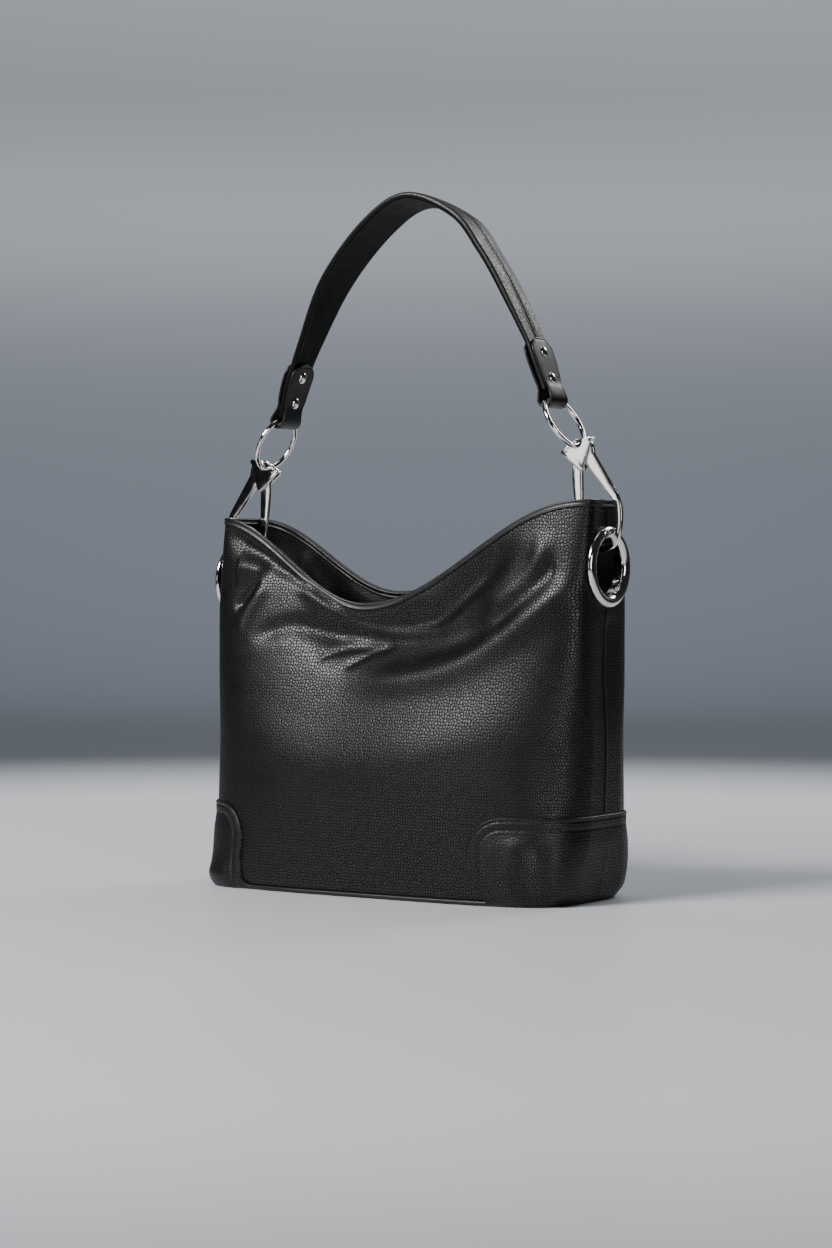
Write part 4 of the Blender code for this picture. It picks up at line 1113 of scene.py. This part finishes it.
STRAP_POINTS = [
    (-124.5, 385.5), (-116.5, 409.5), (-103.0, 440.0), (-76.5, 489.0), (-36.0, 531.0),
    (2.0, 549.0), (44.5, 532.5), (68.5, 503.5), (88.5, 472.0), (109.0, 434.0), (124.0, 394.5),
]
STRAP_TILT = math.radians(5.7)
STRAP_LINE = spline(STRAP_POINTS, 601)
STRAP_RUN = run_along(STRAP_LINE)
STRAP_LENGTH = STRAP_RUN[-1]
STRAP_HALF_GAP = 0.2
STRAP_STITCH_Y = 3.2
STRAP_FLAT_END = 40  # the strap is thin and narrow up to here
STRAP_STITCH_END = 46


def strap_frame(distance, tilted=True):
    """Point in mm, run, direction across and outward direction on the strap's middle line."""
    distance = np.asarray(distance, float)

    def at(run):
        clipped = np.clip(run, 0, STRAP_LENGTH)
        x, z = (np.interp(clipped, STRAP_RUN, STRAP_LINE[:, k]) for k in range(2))
        return np.stack([x, np.zeros_like(x), z], -1)

    run = unit(at(distance + 3) - at(distance - 3))
    outward = np.stack([-run[..., 2], np.zeros_like(distance), run[..., 0]], -1)
    across = np.broadcast_to(np.array([0, 1.0, 0]), run.shape)
    if tilted:
        from_end = from_strap_end(distance)
        tilt = (STRAP_TILT * smoothstep((from_end - 50) / 70))[..., None]
        c, s = np.cos(tilt), np.sin(tilt)
        across, outward = across * c - outward * s, outward * c + across * s
    return at(distance), run, across, outward


def from_strap_end(distance):
    return np.minimum(distance, STRAP_LENGTH - distance)


def strap_fullness(distance):
    """From 0 in the flat ends to 1 where the strap is padded."""
    return smoothstep((from_strap_end(distance) - STRAP_FLAT_END) / 60)


def strap_width(distance):
    """Narrow at the ends, wider in the tabs, widest at the shoulder."""
    from_end = from_strap_end(distance)
    share = (from_end - STRAP_FLAT_END) / (STRAP_LENGTH / 2 - STRAP_FLAT_END)
    climb = 1 - (1 - np.clip(share, 0, 1)) ** 2.2
    return 24 + 4 * smoothstep(from_end / 26) + 14 * climb


def strap_surface(distance, y, height):
    """Points in metres at a distance along the strap, y across it and a height over its middle."""
    place, _, across, outward = strap_frame(distance)
    return (place + across * y[..., None] + outward * height[..., None]) * MM


def strap_face(distance, y):
    """Height of the outer face over the middle line, without its rounded edges."""
    full = strap_fullness(distance)
    crown = 1.2 * full * (1 - (2 * y / strap_width(distance)) ** 2)
    pressed = groove(y, 0.9, 0.0, 0.75) + groove(np.abs(y), 0.35, STRAP_STITCH_Y, 0.9)
    pressed = pressed * smoothstep((from_strap_end(distance) - 30) / 12)
    return STRAP_HALF_GAP + 2.0 + 0.5 * full + crown + pressed


def make_strap():
    """The strap's outer leather and its backing, each with rolled edges and two stitched rows."""
    rows, columns = 261, 61
    ends = np.linspace(-1, 1, columns)
    spread = np.sign(ends) * (1 - (1 - np.abs(ends)) ** 1.25)
    d = np.broadcast_to(np.linspace(0, STRAP_LENGTH, rows)[:, None], (rows, columns))
    half = strap_width(d) / 2
    y = spread[None] * half
    inward = np.clip((half - np.abs(y)) / 1.6, 0, 1)
    roll = np.sqrt(np.maximum(1 - (1 - inward) ** 2, 0))
    base = STRAP_HALF_GAP + 0.5
    bottom, top = np.full(d.shape, STRAP_HALF_GAP), base + (strap_face(d, y) - base) * roll
    add_strap_layer("strap_leather", d, y, bottom, top, STRAP_LEATHER, "strap_outer")
    deep = 2.0 + 0.4 * strap_fullness(d)
    bottom, top = -STRAP_HALF_GAP - 0.4 - (deep - 0.4) * roll, np.full(d.shape, -STRAP_HALF_GAP)
    y = spread[None] * (half - 0.5)
    add_strap_layer("strap_inner", d, y, bottom, top, STRAP_BACKING, "strap_lining")
    count = 500
    line = np.linspace(STRAP_STITCH_END, STRAP_LENGTH - STRAP_STITCH_END, count)
    outward = strap_frame(line)[3]
    inner_face = np.full(count, -STRAP_HALF_GAP - deep[rows // 2, 0] + 0.1)
    for word, sign in (("front", -1), ("back", 1)):
        across = np.full(count, sign * STRAP_STITCH_Y)
        places = strap_surface(line, across, strap_face(line, across))
        stitch_row(f"stitches_strap_{word}", places, outward, "strap")
        places = strap_surface(line, sign * (strap_width(line) / 2 - 2.6), inner_face)
        stitch_row(f"stitches_strap_{word}_inner", places, -outward, "strap")


def add_strap_layer(name, distance, y, bottom, top, look, node):
    over, under = strap_surface(distance, y, top), strap_surface(distance, y, bottom)
    mesh_object(name, thick_sheet(over, under), look, [node], "strap")


TAB_LENGTH, TAB_THICK, TAB_LOOP = 50.0, 2.0, 5.8
TAB_WIDTHS = [(0, 25.5), (9, 23), (18, 27), (34, 30), (50, 30)]
TAB_ROUND_END = 12.0
TAB_FLAT = 2.05 + 0.6 + TAB_THICK / 2


def tab_spine(hand, distance):
    """Point, run and outward direction in mm, from the fold's centre up along the strap."""
    centre, up = ring_frame(hand)
    fold = centre + up * (RING_RADIUS - 1.9)
    end_distance = STRAP_LENGTH if hand == RIGHT else 0.0
    end = strap_frame(np.array([end_distance]), False)[0][0]
    lead = np.linalg.norm(end - fold)
    if distance < lead:
        run = (end - fold) / lead
        return fold + run * distance, run, np.array([run[2], 0, -run[0]]) * hand
    on_strap = distance - lead
    at = STRAP_LENGTH - on_strap if hand == RIGHT else on_strap
    place, along, _, _ = strap_frame(np.array([at]), False)
    run = -along[0] if hand == RIGHT else along[0]
    return place[0], run, np.array([run[2], 0, -run[0]]) * hand


def leaf_offset(distance):
    return TAB_FLAT + (TAB_LOOP - TAB_FLAT) * (1 - float(smoothstep(distance / 14)))


def tab_half_width(distance):
    half = curve_value(TAB_WIDTHS, distance) / 2
    into_end = (distance - (TAB_LENGTH - TAB_ROUND_END)) / TAB_ROUND_END
    if into_end > 0:
        half *= math.sqrt(max(1 - into_end**2, 0.002))
    return half


def tab_rows(hand):
    """Once over the folded leaf: (middle point, outward, half width, distance from its tip)."""
    up_leaf = TAB_LENGTH - (TAB_LENGTH - 1.0) * np.linspace(0, 1, 60) ** 1.5
    leaves = {1: [], -1: []}
    for sign, rows in leaves.items():
        for distance in up_leaf[::sign]:
            place, _, outward = tab_spine(hand, distance)
            centre = place + outward * leaf_offset(distance) * sign
            rows.append((centre, outward * sign, tab_half_width(distance), TAB_LENGTH - distance))
    fold, run, outward = tab_spine(hand, 0.0)
    turn = []
    for angle in np.linspace(0, math.pi, 25):
        spoke = outward * math.cos(angle) - run * math.sin(angle)
        turn.append((fold + spoke * TAB_LOOP, spoke, tab_half_width(0.0), 20.0))
    return leaves[1] + turn + leaves[-1]


def make_tabs():
    """A leather leaf folded round its ring, pressed with a line just inside its edge."""
    across_steps = np.linspace(-1, 1, 41)
    spread = np.sign(across_steps) * (1 - (1 - np.abs(across_steps)) ** 1.4)
    for word, hand in HANDS.items():
        outer, inner = [], []
        for place, normal, half, from_tip in tab_rows(hand):
            y = spread * half
            edge = np.minimum(half - np.abs(y), max(from_tip, 0.0))
            rounded = np.sqrt(np.maximum(1 - (1 - np.clip(edge / 0.9, 0, 1)) ** 2, 0))
            full = 0.25 + 0.75 * rounded
            line = place[None] + np.outer(y, [0, 1.0, 0])
            thick = normal[None] * TAB_THICK / 2
            outer.append((line + thick * (full + groove(edge, 0.28, 2.3, 0.45))[:, None]) * MM)
            inner.append((line - thick * full[:, None]) * MM)
        outer, inner = np.array(outer), np.array(inner)
        if hand == LEFT:
            outer, inner = outer[:, ::-1], inner[:, ::-1]
        mesh_object(f"{word}_tab_leaf", thick_sheet(outer, inner), TAB_LEATHER, [f"{word}_tab"], "strap")


RIVET_CAP = [
    (0.02, 1.9), (1.3, 1.8), (2.6, 1.45), (3.7, 0.9), (4.3, 0.4), (4.5, 0.1), (4.4, 0.0), (1.4, 0.0),
]
RIVET_AT = {"lower": 16.0, "upper": 38.0}


def make_rivets():
    for word, hand in HANDS.items():
        for level, distance in RIVET_AT.items():
            place, _, outward = tab_spine(hand, distance)
            seat = leaf_offset(distance) + TAB_THICK / 2 + 0.1
            profile = both_ways([(r, seat + h) for r, h in RIVET_CAP])
            node = f"{word}_{level}_rivet"
            turned_piece(f"{node}_dome", profile, place * MM, outward, 40, [node], "strap")


# ---------------------------------------------------------------- carried-over nodes


def repaint(node, look):
    """Gives a CAD node that stays in view a better material and eased edges."""
    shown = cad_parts[node]
    shown.data.materials.clear()
    shown.data.materials.append(look)
    bevel = shown.modifiers.new("eased", "BEVEL")
    bevel.width = 0.25 * MM
    bevel.segments = 2
    bevel.limit_method = "ANGLE"


def repaint_nodes():
    for node in ("zip_chain", "zip_slider", "zip_pull"):
        repaint(node, NICKEL)
    repaint("base_board", BOARD)


# ---------------------------------------------------------------- stage, lights and camera

FLOOR_COLOUR, BACKDROP_COLOUR = (0.66, 0.68, 0.71), (0.155, 0.172, 0.205)
FLOOR_RADIUS, BEND, WALL_HEIGHT = 3.4, 1.4, 2.6
FLOOR_DROP = 0.4 * MM
CAMERA_PLACE = (1.2812, -1.9707, 0.2565)
CAMERA_BEARING, CAMERA_DIP = math.radians(33.04), math.radians(1.083)

def stage_material(name):
    """A pale floor that turns into a darker backdrop, with painted shade that makes it darkest on the
    viewer's side.
    """
    graph = Graph(name)
    where = graph.where()
    dark = tuple(c * 0.97 for c in FLOOR_COLOUR) + (1,)
    floor = graph.mix(graph.noise(where, 1.5, 2.0), dark, FLOOR_COLOUR + (1,))
    level = graph.vector("MULTIPLY", i0=where, i1=(1, 1, 0)).outputs[0]
    away = graph.vector("LENGTH", i0=level).outputs["Value"]
    change = graph.remap(away, 0.9, 1.8, 0.0, 1.0, smooth=True)
    # painted shade: the backdrop's colour falls to 30% on the viewer's side, where little light reaches
    behind = graph.vector("DOT_PRODUCT", i0=where, i1=(-0.545, 0.838, 0.0)).outputs["Value"]
    spread = graph.remap(behind, 2.0, 4.4, 0.3, 1.0, smooth=True)
    dim = graph.vector("SCALE", i0=BACKDROP_COLOUR, Scale=spread).outputs[0]
    graph.feed("Base Color", graph.mix(change, floor, dim))
    graph.feed("Roughness", 0.4)
    return graph.material


def make_stage():
    """A round pale floor that curves up into a backdrop on every side."""
    profile = [(r, 0.0) for r in np.linspace(0.3, FLOOR_RADIUS, 12)]
    for angle in np.radians(np.linspace(5, 90, 16)):
        profile.append((FLOOR_RADIUS + BEND * math.sin(angle), BEND * (1 - math.cos(angle))))
    profile.append((FLOOR_RADIUS + BEND, BEND + WALL_HEIGHT))
    segments = 96
    turn = turns(segments)
    rings = [np.stack([r * np.cos(turn), r * np.sin(turn), np.full(segments, z)], 1) for r, z in profile]
    points = np.vstack([np.zeros((1, 3))] + rings) - np.array([0, 0, FLOOR_DROP])
    faces = [(0, 1 + i, 1 + (i + 1) % segments) for i in range(segments)]
    faces += [tuple(f[::-1] + 1) for f in grid_cells(len(rings), segments, wrap=True)]
    mesh = bpy.data.meshes.new("floor")
    mesh.from_pydata([tuple(p) for p in points], [], faces)
    mesh.shade_smooth()
    mesh.materials.append(stage_material("pale_floor"))
    linked("floor", mesh)


def area_light(name, place, target, size, power):
    lamp = bpy.data.lights.new(name, "AREA")
    lamp.shape = "RECTANGLE"
    lamp.size, lamp.size_y = size
    lamp.energy = power
    linked(name, lamp, place, Vector(target) - Vector(place))


def make_lights():
    middle = (0, 0, 0.2)
    area_light("key", (-0.75, -2.0, 1.9), middle, (1.1, 0.9), 105)
    area_light("plate_card", (-1.15, -2.35, 0.5), (0.15, 0, 0.34), (0.6, 0.7), 2.6)
    area_light("top", (0.1, 0.1, 2.2), middle, (1.0, 1.0), 3)
    area_light("camera_side", (2.0, -1.5, 0.7), middle, (0.4, 1.2), 14)
    area_light("behind", (0.7, 2.4, 2.0), middle, (1.0, 0.8), 28)
    area_light("backdrop", (-0.9, 1.5, 2.9), (-2.3, 3.5, 0.9), (2.6, 1.2), 130)
    world = bpy.data.worlds.new("studio")
    world.use_nodes = True
    glow = world.node_tree.nodes["Background"].inputs
    glow["Color"].default_value = (0.62, 0.67, 0.74, 1)
    glow["Strength"].default_value = 0.04
    bpy.context.scene.world = world


def make_camera():
    """The picture's viewpoint: to the bag's right, a little above half its body's height."""
    bearing, dip = CAMERA_BEARING, CAMERA_DIP
    level = math.cos(dip)
    ahead = (-math.sin(bearing) * level, math.cos(bearing) * level, -math.sin(dip))
    lens = bpy.data.cameras.new("camera")
    lens.lens = 85
    lens.sensor_width = 36
    bpy.context.scene.camera = linked("camera", lens, CAMERA_PLACE, ahead)


make_walls()
make_lining()
make_pockets()
make_base()
make_snaps()
make_patches()
make_binding()
make_seams()
make_piping()
make_eyelets()
make_hooks()
make_rings()
make_strap()
make_tabs()
make_rivets()
repaint_nodes()
make_stage()
make_lights()
make_camera()
